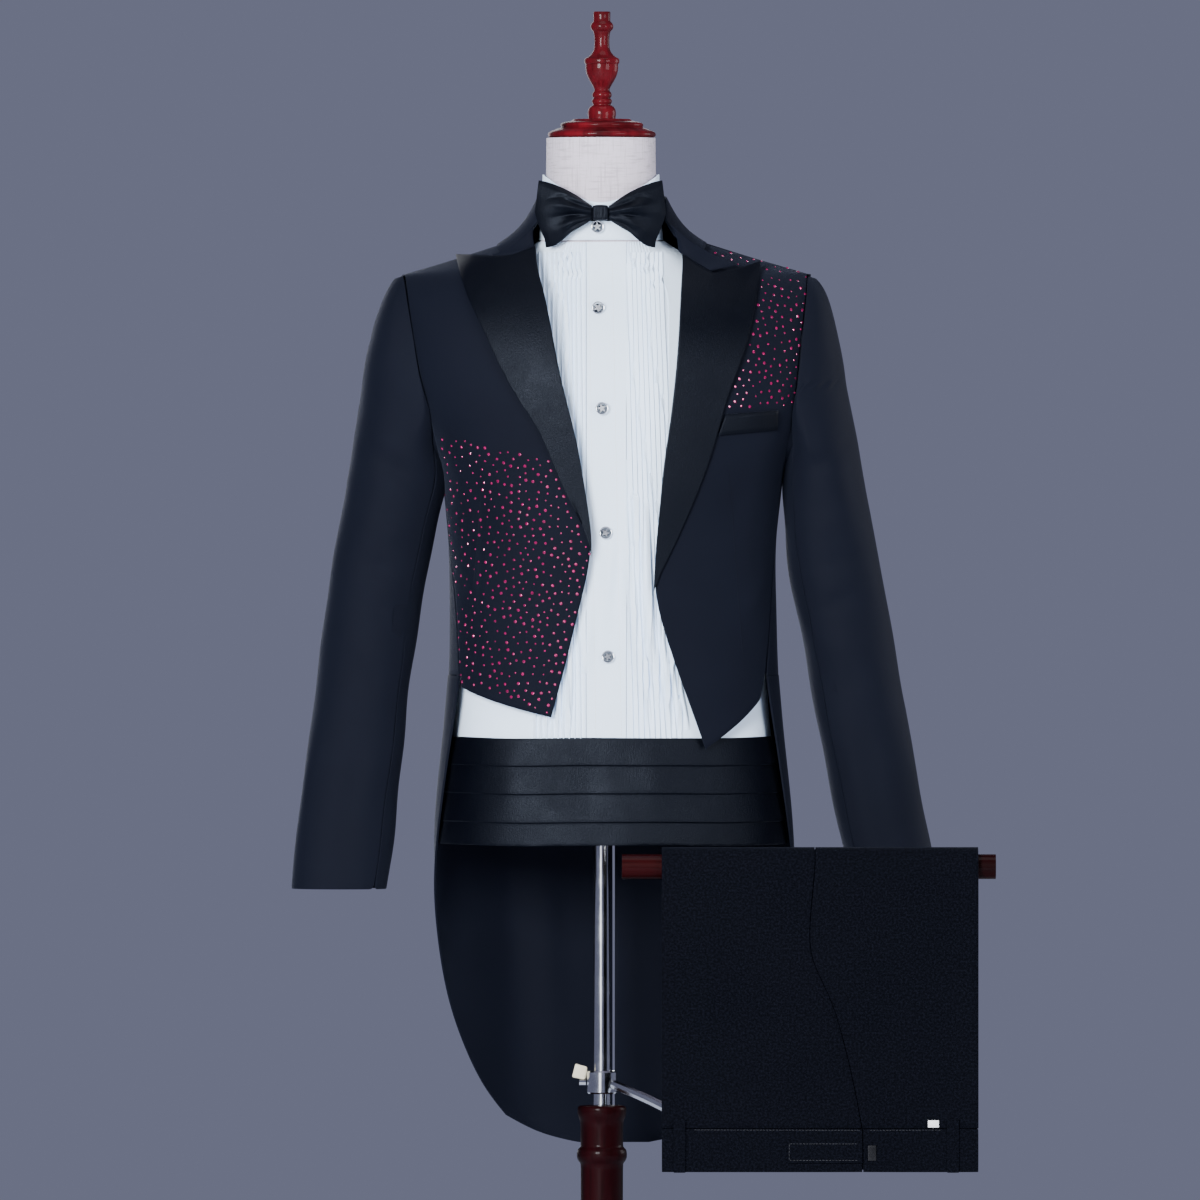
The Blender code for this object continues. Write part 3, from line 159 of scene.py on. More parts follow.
def copy_of_node(node: str, name: str) -> Piece:
    """A new object with a node's mesh, its loose triangles merged and paired.

    Args:
        node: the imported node's name.
        name: the new piece's name.

    Returns:
        The new object, at the origin.
    """
    obj = bpy.data.objects.new(name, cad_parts[node].data.copy())
    obj.data.name = name
    obj.data.materials.clear()
    bpy.context.scene.collection.objects.link(obj)
    pick(obj)
    edit_all()
    bpy.ops.mesh.remove_doubles(threshold=MERGE_WITHIN)
    bpy.ops.mesh.tris_convert_to_quads(face_threshold=0.7, shape_threshold=0.9)
    bpy.ops.object.mode_set(mode="OBJECT")
    for old in ("custom_normal", "sharp_edge", "sharp_face"):
        if old in obj.data.attributes:
            obj.data.attributes.remove(obj.data.attributes[old])
    return obj


def crease_rims(obj: Piece, angle: float) -> None:
    """Hold the edges that turn by more than an angle when the mesh is subdivided.

    Args:
        obj: the piece.
        angle: degrees between two faces.
    """
    shape = bmesh.new()
    shape.from_mesh(obj.data)
    layer = shape.edges.layers.float.get("crease_edge") or shape.edges.layers.float.new("crease_edge")
    for edge in shape.edges:
        if len(edge.link_faces) != 2 or edge.calc_face_angle(0) > math.radians(angle):
            edge[layer] = 1.0
    shape.to_mesh(obj.data)
    shape.free()


def smooth(obj: Piece, angle: float = 40) -> None:
    """Shade a piece smooth but for the edges that turn by more than an angle in degrees."""
    pick(obj)
    bpy.ops.object.shade_smooth_by_angle(angle=math.radians(angle))


def tree_of(*objects: Piece) -> BVHTree:
    """A search tree of the faces of some pieces.

    Args:
        objects: the pieces, each at the origin.

    Returns:
        The tree for casting rays.
    """
    points: list[Vector] = []
    faces: list[tuple[int, ...]] = []
    for obj in objects:
        start = len(points)
        points += [v.co.copy() for v in obj.data.vertices]
        faces += [tuple(start + i for i in p.vertices) for p in obj.data.polygons]
    return BVHTree.FromPolygons(points, faces)


def unevenness(points: np.ndarray, size: float, seed: int) -> np.ndarray:
    """Soft unevenness between -1 and 1 at each point, as hands and hanging leave in cloth.

    Args:
        points: rows of x, y, z.
        size: distance from one swell to the next, in metres.
        seed: which pattern.

    Returns:
        One number for each point.
    """
    draw = random.Random(seed)
    total = np.zeros(len(points))
    for _ in range(7):
        way = np.array([draw.gauss(0, 1), draw.gauss(0, 1), draw.gauss(0, 0.7)])
        way /= np.linalg.norm(way) + 1e-9
        pitch = size * draw.uniform(0.75, 1.6)
        total += np.sin(points @ way * (2 * math.pi / pitch) + draw.uniform(0, 2 * math.pi))
    return total / 4.0


def ribbon(name: str, strips: list[np.ndarray], thickness: float, ring: bool = False) -> Piece:
    """Closed strips of cloth laid through rows of points.

    Args:
        name: the piece's name.
        strips: for each strip its rows of points, each row across the strip.
        thickness: of the cloth, towards its back.
        ring: whether each strip's last row is its first.

    Returns:
        All the strips as one object.
    """
    made = []
    for rows in strips:
        deselect()
        count, across = rows.shape[:2]
        bpy.ops.mesh.primitive_grid_add(x_subdivisions=across - 1, y_subdivisions=count - 1, size=1)
        strip = bpy.context.object
        set_points(strip, rows.reshape(-1, 3))
        if ring:
            edit_all()
            bpy.ops.mesh.remove_doubles(threshold=MERGE_WITHIN / 4)
            bpy.ops.object.mode_set(mode="OBJECT")
        add_modifier(strip, "SOLIDIFY", thickness=thickness, offset=-1)
        made.append(strip)
    deselect()
    for strip in made:
        strip.select_set(True)
    bpy.context.view_layer.objects.active = made[0]
    if len(made) > 1:
        bpy.ops.object.join()
    obj = name_object(name)
    edit_all()
    face_outwards(obj)
    return obj


def front_hit(tree: BVHTree, x: float, z: float) -> tuple[Vector, Vector] | None:
    """First point and normal that a look from the front meets at a place."""
    hit, normal, _, _ = tree.ray_cast(Vector((x, LOOK_FROM, z)), Vector((0, 1, 0)), LOOK_REACH)
    return None if hit is None else (hit, normal)


def row_under(tree: BVHTree, looks: list[tuple[Vector, Vector]], reach: float, depth: float) -> list[tuple]:
    """A row of points just under the cloth, or none where the cloth has a gap.

    Args:
        tree: the cloth.
        looks: each look's start and way.
        reach: how far they go.
        depth: how far under the cloth the points are.

    Returns:
        The row.
    """
    hits = [tree.ray_cast(start, way, reach)[0] for start, way in looks]
    if any(hit is None for hit in hits):
        return []
    return [tuple(hit + way * depth) for hit, (_, way) in zip(hits, looks)]


def laid_strip(tree: BVHTree, line: Line, section: Line, steps: int) -> np.ndarray:
    """Rows of a strip that lies on cloth along a line seen from the front.

    Args:
        tree: the cloth.
        line: x and z of its corners.
        section: shift across and rise of each point of a row.
        steps: rows along the whole line.

    Returns:
        The rows where the line meets the cloth.
    """
    corners = np.array(line)
    parts = np.linspace(0, len(line) - 1, steps)
    rows = []
    for x, z in zip(*(np.interp(parts, np.arange(len(line)), corners[:, i]) for i in (0, 1))):
        found = front_hit(tree, x, z)
        if found is None:
            continue
        hit, normal = found
        flat = Vector((-normal.y, normal.x, 0)).normalized()
        rows.append([tuple(hit + normal * rise + flat * shift) for shift, rise in section])
    return np.array(rows)


def set_copies(name: str, model: bpy.types.Mesh, places: list[Matrix]) -> Piece:
    """Copies of one small mesh joined into one piece.

    Args:
        name: the piece's name.
        model: the mesh.
        places: where each copy goes.

    Returns:
        The piece.
    """
    shape = bmesh.new()
    for place in places:
        copy = model.copy()
        copy.transform(place)
        shape.from_mesh(copy)
        bpy.data.meshes.remove(copy)
    mesh = bpy.data.meshes.new(name)
    shape.to_mesh(mesh)
    shape.free()
    obj = bpy.data.objects.new(name, mesh)
    bpy.context.scene.collection.objects.link(obj)
    return obj


# ------------------------------------------------------------------ finishes
def times(colour: Colour, share: float) -> Colour:
    """A colour made lighter or darker."""
    return tuple(part * share for part in colour)


class Board:
    """The shader nodes of one material."""

    def __init__(self, name: str) -> None:
        """Start a material with a principled shader.

        Args:
            name: the material's name.
        """
        self.material = bpy.data.materials.new(name)
        self.material.use_nodes = True
        self.tree = self.material.node_tree
        self.shader = self.tree.nodes["Principled BSDF"]

    def add(self, kind: str, inputs: dict | None = None, **settings: object) -> bpy.types.Node:
        """Add a node.

        Args:
            kind: the node's type without its ShaderNode prefix.
            inputs: values or output sockets by input name or number.
            settings: properties of the node.

        Returns:
            The node.
        """
        node = self.tree.nodes.new("ShaderNode" + kind)
        for key, value in settings.items():
            setattr(node, key, value)
        for key, value in (inputs or {}).items():
            self.feed(node.inputs[key], value)
        return node

    def feed(self, socket: Socket, value: object) -> None:
        """Set an input to a value, or link an output to it.

        Args:
            socket: the input.
            value: a plain value or an output socket.
        """
        if isinstance(value, Socket):
            self.tree.links.new(value, socket)
        else:
            socket.default_value = value

    def shade(self, **inputs: object) -> None:
        """Feed the shader's inputs, with underscores for the spaces in their names."""
        for key, value in inputs.items():
            self.feed(self.shader.inputs[key.replace("_", " ")], value)

    def object_place(self, scale: Point3 = (1, 1, 1)) -> Socket:
        """The point on the object in metres, stretched by a scale."""
        where = self.add("TexCoord").outputs["Object"]
        return self.add("Mapping", {"Vector": where, "Scale": scale}).outputs["Vector"]

    def cloth_place(self, scale: Point3 = (1, 1, 1)) -> Socket:
        """The point on the cloth's own map in metres, stretched by a scale."""
        where = self.add("UVMap", uv_map="cloth").outputs["UV"]
        return self.add("Mapping", {"Vector": where, "Scale": scale}).outputs["Vector"]

    def noise(self, place: Socket, scale: float, detail: float = 3.0,
              rough: float = 0.5) -> Socket:
        """Noise at a place.

        Args:
            place: the coordinates.
            scale: how many swells to the metre.
            detail: octaves.
            rough: strength of the finer octaves.

        Returns:
            The factor from 0 to 1.
        """
        inputs = {"Vector": place, "Scale": scale, "Detail": detail, "Roughness": rough}
        return self.add("TexNoise", inputs).outputs[0]

    def span(self, value: Socket, low: float, high: float, out_low: float,
             out_high: float) -> Socket:
        """Map a value from one span to another, held at its ends."""
        inputs = {0: value, 1: low, 2: high, 3: out_low, 4: out_high}
        return self.add("MapRange", inputs, clamp=True).outputs[0]

    def blend(self, part: Socket, first: object, second: object) -> Socket:
        """Mix two colours.

        Args:
            part: share of the second.
            first: a colour or socket.
            second: a colour or socket.

        Returns:
            The mixed colour.
        """
        node = self.add("Mix", data_type="RGBA")
        self.feed(node.inputs[0], part)
        for index, value in ((6, first), (7, second)):
            self.feed(node.inputs[index], (*value, 1.0) if isinstance(value, tuple) else value)
        return node.outputs[2]

    def sum(self, first: object, second: object, way: str = "ADD") -> Socket:
        """Two values joined by a sum or another operation."""
        return self.add("Math", {0: first, 1: second}, operation=way).outputs[0]

    def relief(self, height: Socket, depth: float, strength: float = 1.0) -> None:
        """Give the surface a fine relief.

        Args:
            height: from 0 to 1.
            depth: metres of the whole relief.
            strength: share of it.
        """
        inputs = {"Height": height, "Distance": depth, "Strength": strength}
        self.shade(Normal=self.add("Bump", inputs).outputs[0])

    def threads(self, pitch: float, twill: float = 0.0) -> Socket:
        """Height of crossing threads on the cloth's own map.

        Args:
            pitch: metres from one thread to the next.
            twill: share of the diagonal line.

        Returns:
            A height from 0 to about 1.
        """
        place = self.cloth_place()
        lines = []
        for way in ("X", "Y", "DIAGONAL"):
            inputs = {"Vector": place, "Scale": WAVE_SCALE / pitch, "Distortion": 0.6, "Detail": 1.0,
                      "Detail Scale": 1.5}
            lines.append(self.add("TexWave", inputs, bands_direction=way).outputs["Fac"])
        cross = self.sum(lines[0], lines[1], "MULTIPLY")
        if not twill:
            return cross
        return self.sum(self.sum(cross, 1 - twill, "MULTIPLY"), self.sum(lines[2], twill, "MULTIPLY"))


@dataclass(frozen=True)
class Finish:
    """A material's name, a slot's name and its main colour."""

    name: str
    slot: str
    colour: Colour


@dataclass(frozen=True)
class Wool(Finish):
    """Fine dark suiting with a soft nap."""

    light: Colour
    pitch: float = 0.0006
    fleck: float = 0.0
    roughness: float = 0.72
    gloss: float = 0.07
    nap: float = 0.04

    def make(self) -> Material:
        """Build the material."""
        board = Board(self.name)
        cloth = board.cloth_place()
        broad = board.noise(board.object_place(), 9.0, 4.0, 0.55)
        fine = board.noise(cloth, 900.0, 2.0, 0.7)
        colour = board.blend(board.span(broad, 0.3, 0.7, 0.0, 0.45), self.colour, self.light)
        weave = board.threads(self.pitch, 0.5)
        colour = board.blend(board.span(weave, 0.0, 1.0, 0.35, 0.0), colour, times(self.colour, 0.4))
        if self.fleck:
            grains = board.noise(cloth, 430.0, 3.0, 0.75)
            fleck = board.span(grains, 0.44, 0.64, 0.0, self.fleck)
            colour = board.blend(fleck, colour, times(self.light, 11))
        board.shade(Base_Color=colour, Specular_IOR_Level=self.gloss, Sheen_Weight=self.nap,
                    Sheen_Roughness=0.5, Sheen_Tint=(0.45, 0.52, 0.78, 1.0))
        board.shade(Roughness=board.span(fine, 0.3, 0.7, self.roughness - 0.07, self.roughness + 0.1))
        height = board.sum(weave, board.sum(fine, 0.8, "MULTIPLY"))
        board.relief(height, 0.00018, 0.7)
        return board.material


@dataclass(frozen=True)
class Satin(Finish):
    """Black silk satin with a broad soft gloss."""

    roughness: float = 0.36

    def make(self) -> Material:
        """Build the material."""
        board = Board(self.name)
        streak = board.noise(board.cloth_place((1.0, 0.10, 1.0)), 1100.0, 3.0, 0.65)
        grain = board.noise(board.object_place(), 620.0, 3.0, 0.7)
        cloudy = board.noise(board.object_place(), 24.0, 4.0, 0.6)
        colour = board.blend(board.span(streak, 0.35, 0.7, 0.0, 0.6), self.colour,
                             times(self.colour, 2.2))
        rough = board.sum(board.span(cloudy, 0.3, 0.7, -0.07, 0.07), board.span(grain, 0.3, 0.7, -0.06, 0.08))
        board.shade(Base_Color=colour, Roughness=board.sum(rough, self.roughness), Specular_IOR_Level=0.10,
                    Specular_Tint=(0.71, 0.80, 1.0, 1.0), Sheen_Weight=0.03, Sheen_Roughness=0.3,
                    Sheen_Tint=(0.6, 0.68, 1.0, 1.0))
        board.relief(board.sum(streak, board.sum(grain, 1.4, "MULTIPLY")), 0.00030, 0.8)
        return board.material


@dataclass(frozen=True)
class Shirting(Finish):
    """White cotton, or the linen over the form, with plain-woven threads."""

    shade_colour: Colour
    pitch: float
    depth: float
    slub: float = 0.0

    def make(self) -> Material:
        """Build the material."""
        board = Board(self.name)
        broad = board.noise(board.object_place(), 14.0, 3.0, 0.5)
        weave = board.threads(self.pitch)
        colour = board.blend(board.span(broad, 0.25, 0.75, 0.0, 0.35), self.colour, self.shade_colour)
        colour = board.blend(board.span(weave, 0.0, 0.6, 0.3, 0.0), colour, self.shade_colour)
        height = weave
        if self.slub:
            for scale in ((1.0, 0.05, 1.0), (0.05, 1.0, 1.0)):
                threads = board.noise(board.cloth_place(scale), 420.0, 2.0, 0.6)
                line = board.span(threads, 0.52, 0.68, 0.0, self.slub)
                colour = board.blend(line, colour, times(self.shade_colour, 0.78))
                height = board.sum(height, line)
        board.shade(Base_Color=colour, Roughness=board.span(broad, 0.3, 0.7, 0.62, 0.78),
                    Specular_IOR_Level=0.3, Sheen_Weight=0.12, Sheen_Roughness=0.5)
        board.relief(height, self.depth, 0.7)
        return board.material


@dataclass(frozen=True)
class Mahogany(Finish):
    """Dark red wood under a clear gloss."""

    grain: Colour
    gloss: float
    along: Point3 = (1.0, 1.0, 0.08)

    def make(self) -> Material:
        """Build the material."""
        board = Board(self.name)
        fibre = board.noise(board.object_place(self.along), 240.0, 5.0, 0.65)
        figure = board.noise(board.object_place(self.along), 34.0, 3.0, 0.5)
        colour = board.blend(board.span(figure, 0.35, 0.65, 0.0, 1.0), self.colour, self.grain)
        colour = board.blend(board.span(fibre, 0.5, 0.72, 0.0, 0.55), colour, times(self.grain, 0.35))
        board.shade(Base_Color=colour, Roughness=board.span(fibre, 0.3, 0.7, 0.42, 0.55),
                    Coat_Weight=self.gloss, Coat_Roughness=0.09, Specular_IOR_Level=0.03)
        board.relief(fibre, 0.00003, 0.2)
        return board.material


@dataclass(frozen=True)
class Metal(Finish):
    """Plated or blackened steel, slightly smudged by handling."""

    roughness: float

    def make(self) -> Material:
        """Build the material."""
        board = Board(self.name)
        smudge = board.noise(board.object_place(), 55.0, 4.0, 0.6)
        scratch = board.noise(board.object_place((1.0, 1.0, 0.03)), 1400.0, 2.0, 0.5)
        board.shade(Base_Color=board.blend(smudge, self.colour, times(self.colour, 0.82)),
                    Metallic=1.0)
        board.shade(Roughness=board.span(smudge, 0.3, 0.7, self.roughness * 0.75, self.roughness * 1.4))
        board.relief(scratch, 0.00003, 0.25)
        return board.material


@dataclass(frozen=True)
class Moulded(Finish):
    """Plain moulded plastic or a bare woven label."""

    roughness: float

    def make(self) -> Material:
        """Build the material."""
        board = Board(self.name)
        tone = board.noise(board.object_place(), 70.0, 4.0, 0.6)
        pores = board.noise(board.object_place(), 1300.0, 2.0, 0.5)
        board.shade(Base_Color=board.blend(tone, self.colour, times(self.colour, 0.86)),
                    Roughness=board.span(tone, 0.3, 0.7, self.roughness - 0.05, self.roughness + 0.08))
        board.relief(pores, 0.00006, 0.5)
        return board.material


@dataclass(frozen=True)
class Gem(Finish):
    """Cut glass with a foil back."""

    deep: Colour
    metallic: float

    def make(self) -> Material:
        """Build the material."""
        board = Board(self.name)
        change = board.noise(board.object_place(), 420.0, 1.0, 0.5)
        board.shade(Base_Color=board.blend(board.span(change, 0.4, 0.62, 0.0, 1.0), self.colour, self.deep),
                    Metallic=self.metallic, Roughness=board.span(change, 0.3, 0.7, 0.08, 0.2),
                    Coat_Weight=1.0, Coat_Roughness=0.03)
        return board.material


class Finishes(Enum):
    """The finishes of the outfit and its stand."""

    WOOL = Wool("coat_wool", "wool", (0.0023, 0.0031, 0.0076), (0.0042, 0.0054, 0.0118))
    TROUSER = Wool("trouser_wool", "trouser_wool", (0.0007, 0.0009, 0.0021), (0.0017, 0.0019, 0.0034),
                   pitch=0.0007, fleck=0.13, roughness=0.85, gloss=0.03, nap=0.018)
    SATIN = Satin("black_satin", "black_satin", (0.0006, 0.0008, 0.0019), 0.45)
    SHIRT = Shirting("white_shirting", "white_shirting", (0.725, 0.850, 1.0), (0.665, 0.790, 0.955),
                     pitch=0.0005, depth=0.00012)
    LINEN = Shirting("form_linen", "form_linen", (0.62, 0.55, 0.63), (0.50, 0.44, 0.49),
                     pitch=0.0011, depth=0.0003, slub=0.8)
    WOOD = Mahogany("mahogany", "mahogany", (0.110, 0.005, 0.009), (0.026, 0.002, 0.003), 0.11)
    COLUMN_WOOD = Mahogany("mahogany_column", "mahogany", (0.012, 0.0010, 0.0018), (0.004, 0.0005, 0.0008),
                           gloss=0.05)
    BAR_WOOD = Mahogany("mahogany_bar", "mahogany", (0.014, 0.0005, 0.0008), (0.005, 0.0003, 0.0005),
                        gloss=0.07, along=(0.08, 1.0, 1.0))
    SILVER = Metal("silver_setting", "dark_crystal", (0.80, 0.82, 0.86), 0.18)
    THREAD = Moulded("black_thread", "wool", (0.006, 0.007, 0.012), 0.6)
    WHITE_THREAD = Moulded("white_thread", "white_shirting", (0.80, 0.84, 0.90), 0.6)
    CHROME = Metal("chrome", "chrome", (0.72, 0.73, 0.75), 0.14)
    BLACK_METAL = Metal("black_metal", "black_metal", (0.02, 0.02, 0.022), 0.35)
    CREAM = Moulded("cream_plastic", "cream_plastic", (0.66, 0.60, 0.44), 0.38)
    LABEL = Moulded("bare_label", "bare_label", (0.82, 0.82, 0.82), 0.7)
    CRYSTAL = Gem("dark_crystal", "dark_crystal", (0.020, 0.026, 0.040), (0.006, 0.008, 0.014), 0.35)
    RHINESTONE = Gem("crimson_crystal", "wool", (0.42, 0.0015, 0.115), (0.18, 0.0008, 0.050), 0.42)


class Dresser:
    """Keeps the built materials and dresses pieces in them."""

    def __init__(self) -> None:
        """Build every finish once."""
        self.made = {finish: finish.value.make() for finish in Finishes}

    def finish(self, obj: Piece, finish: Finishes, angle: float | None, node: str = "") -> Piece:
        """Smooth and dress a piece and put it on the body, in place of its node if it has one.

        Args:
            obj: the piece.
            finish: its finish.
            angle: edges that turn by more degrees stay sharp, or None for a cut stone's facets.
            node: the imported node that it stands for.

        Returns:
            The piece.
        """
        if angle is not None:
            smooth(obj, angle)
        obj.data.materials.clear()
        obj.data.materials.append(self.made[finish])
        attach(obj, BODY)
        if node:
            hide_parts(node)
        log.info("%s: %d faces", obj.name, len(obj.data.polygons))
        return obj


# ------------------------------------------------------------------ how cloth lies
END_FADE = 0.3  # how far past its ends a fold fades, in half lengths


@dataclass(frozen=True)
class Fold:
    """A soft trough or ridge between two points of a cloth's own map."""

    start: Point2
    end: Point2
    depth: float
    width: float
    bow: float = 0.0

    def height(self, flat: np.ndarray) -> np.ndarray:
        """Height of the fold at points of the cloth's map.

        Args:
            flat: rows of u, v in metres.

        Returns:
            Metres outwards for each point.
        """
        start, end = np.array(self.start), np.array(self.end)
        way = end - start
        length = np.linalg.norm(way)
        way /= length
        off = flat - start
        along = off @ way / length
        part = np.clip(along, 0, 1)
        across = off @ np.array([-way[1], way[0]]) - self.bow * 4 * part * (1 - part)
        away = np.abs(along - 0.5) * 2
        reach = np.clip(1 - away, -END_FADE, 1)
        share = np.clip(reach + END_FADE, 0, 1 + END_FADE) / (1 + END_FADE)
        fade = np.where(reach > -END_FADE, share, 0) ** 1.5
        fade = fade * np.exp(-(np.clip(away - 1, 0, 3) * 4) ** 2)
        return self.depth * fade * np.exp(-((across / self.width) ** 2))


class Lie(Enum):
    """The form that a piece of cloth lies on."""

    TORSO = "torso"
    SLEEVE_RIGHT = "sleeve_right"
    SLEEVE_LEFT = "sleeve_left"
    FRONT = "front"
    BACK = "back"


SLEEVE_AXIS = {
    Lie.SLEEVE_RIGHT: ((0.76, -0.2765, -0.0215), (0.90, -0.2595, -0.012), (1.05, -0.2415, 0.0),
                       (1.19, -0.2200, 0.007), (1.298, -0.2260, 0.004), (1.41, -0.2150, 0.002)),
    Lie.SLEEVE_LEFT: ((0.76, 0.3085, -0.0060), (0.90, 0.2805, -0.003), (1.05, 0.2530, 0.002),
                      (1.19, 0.2350, 0.007), (1.298, 0.2320, 0.004), (1.41, 0.2220, 0.002)),
}
SLEEVES = {-1: Lie.SLEEVE_RIGHT, 1: Lie.SLEEVE_LEFT}
SLEEVE_CUT = -2.2  # the turn under the arm where a sleeve's map is cut
SLEEVE_SPREAD = 0.048
TORSO_HALF_X = 0.195
TORSO_HALF_Y = 0.125
TORSO_MIDDLE_Y = 0.004
TORSO_SPREAD = 0.165
SHOULDER_FOOT = 1.33
SHOULDER_HEIGHT = 0.09
SHOULDER_LIFT = 9.0


def sleeve_middle(lie: Lie, z: np.ndarray) -> tuple[np.ndarray, np.ndarray]:
    """A sleeve's middle line.

    Args:
        lie: the sleeve.
        z: heights.

    Returns:
        Its x and its y at each height.
    """
    levels, *lines = np.array(SLEEVE_AXIS[lie]).T
    return tuple(np.interp(z, levels, line) for line in lines)


def lie_map(points: np.ndarray, lie: Lie) -> tuple[np.ndarray, np.ndarray]:
    """The cloth's own map and its outward way at each point.

    Args:
        points: rows of x, y, z.
        lie: the form under the cloth.

    Returns:
        Rows of u, v in metres and rows of unit vectors.
    """
    x, y, z = points[:, 0], points[:, 1], points[:, 2]
    out = np.zeros_like(points)
    if lie in SLEEVE_AXIS:
        middle_x, middle_y = sleeve_middle(lie, z)
        dx, dy = x - middle_x, y - middle_y
        side = -1 if lie is Lie.SLEEVE_RIGHT else 1
        turn = np.arctan2(dx * side, -dy)
        turn = np.where(turn < SLEEVE_CUT, turn + 2 * math.pi, turn)
        flat = np.stack([turn * SLEEVE_SPREAD, z], axis=1)
        out[:, 0], out[:, 1] = dx, dy
    elif lie is Lie.TORSO:
        dy = y - TORSO_MIDDLE_Y
        turn = np.arctan2(x / TORSO_HALF_X, -dy / TORSO_HALF_Y)
        flat = np.stack([turn * TORSO_SPREAD, z], axis=1)
        out[:, 0] = x / TORSO_HALF_X ** 2
        out[:, 1] = dy / TORSO_HALF_Y ** 2
        out[:, 2] = np.clip((z - SHOULDER_FOOT) / SHOULDER_HEIGHT, 0, 1) * SHOULDER_LIFT
    else:
        flat = np.stack([x, z], axis=1)
        out[:, 1] = -1 if lie is Lie.FRONT else 1
    out /= np.linalg.norm(out, axis=1)[:, None] + 1e-12
    return flat, out


def on_front(x: float, z: float) -> Point2:
    """Map point of the torso's front at a place seen from the front."""
    return (math.asin(max(-0.99, min(0.99, x / TORSO_HALF_X))) * TORSO_SPREAD, z)


def on_back(x: float, z: float) -> Point2:
    """Map point of the torso's back at a place seen through from the front."""
    turn = math.asin(max(-0.99, min(0.99, x / TORSO_HALF_X)))
    turn = math.pi - turn if x > 0 else -math.pi - turn
    return (turn * TORSO_SPREAD, z)


def on_flat(x: float, z: float) -> Point2:
    """Map point of a piece that hangs flat."""
    return (x, z)


def folds_at(place: Callable[[float, float], Point2], rows: Rows, mark: int = 1) -> tuple[Fold, ...]:
    """Folds from a table of places seen from the front.

    Args:
        place: gives the cloth's map point.
        rows: each fold's x and z at its start and at its end, its depth, width and bow.
        mark: -1 to mirror them, or 1.

    Returns:
        The folds.
    """
    return tuple(Fold(place(mark * x, z), place(mark * end_x, end_z), depth, width, mark * bow)
                 for x, z, end_x, end_z, depth, width, bow in rows)


@dataclass
class ClothPiece:
    """One cut piece of cloth, made from its node's solid and given its folds."""

    node: str
    name: str
    finish: Finishes
    lie: Lie
    flat: Point2
    held: str
    rests_on: tuple[str, ...]
    folds: tuple[Fold, ...] = ()
    levels: int = 2
    swell: float = 0.0008
    swell_size: float = 0.11
    seed: int = 3
    area: float | None = None
    rim_angle: float = 38
    shape: Callable[[np.ndarray, np.ndarray], np.ndarray] | None = None
    round_rim: float = 0.0003
    relax: int = 0
    sheet: bool = True

    def build(self, dresser: Dresser) -> Piece:
        """Make the piece and dress it.

        Args:
            dresser: holds the materials.

        Returns:
            The finished piece.
        """
        obj = copy_of_node(self.node, self.name)
        crease_rims(obj, self.rim_angle)
        if self.levels:
            add_modifier(obj, "SUBSURF", levels=self.levels, render_levels=self.levels)
        if self.relax:
            add_modifier(obj, "SMOOTH", factor=0.5, iterations=self.relax)
        self.crease(obj)
        if self.round_rim:
            add_modifier(obj, "BEVEL", width=self.round_rim, segments=1, limit_method="ANGLE",
                         angle_limit=math.radians(55), use_clamp_overlap=True)
        self.lay_map(obj)
        dresser.finish(obj, self.finish, 48, self.node)
        return obj

    def crease(self, obj: Piece) -> None:
        """Move both faces of the cloth together by its folds and its soft swell.

        Args:
            obj: the piece.
        """
        points = points_of(obj)
        flat, out = lie_map(points, self.lie)
        height = self.swell * unevenness(points, self.swell_size, self.seed)
        for fold in self.folds:
            height = height + fold.height(flat)
        moved = points + out * height[:, None]
        if self.shape:
            moved = self.shape(moved, out)
        set_points(obj, moved)

    def lay_map(self, obj: Piece) -> None:
        """Give the piece its own map in metres for the weave.

        Args:
            obj: the piece.
        """
        flat, _ = lie_map(points_of(obj), self.lie)
        if "cloth" not in obj.data.uv_layers:
            obj.data.uv_layers.new(name="cloth")
        for other in [uv.name for uv in obj.data.uv_layers if uv.name != "cloth"]:
            obj.data.uv_layers.remove(obj.data.uv_layers[other])
        layer = obj.data.uv_layers["cloth"]
        corners = np.empty(len(obj.data.loops), dtype=int)
        obj.data.loops.foreach_get("vertex_index", corners)
        layer.data.foreach_set("uv", flat[corners].astype(np.float32).reshape(-1))


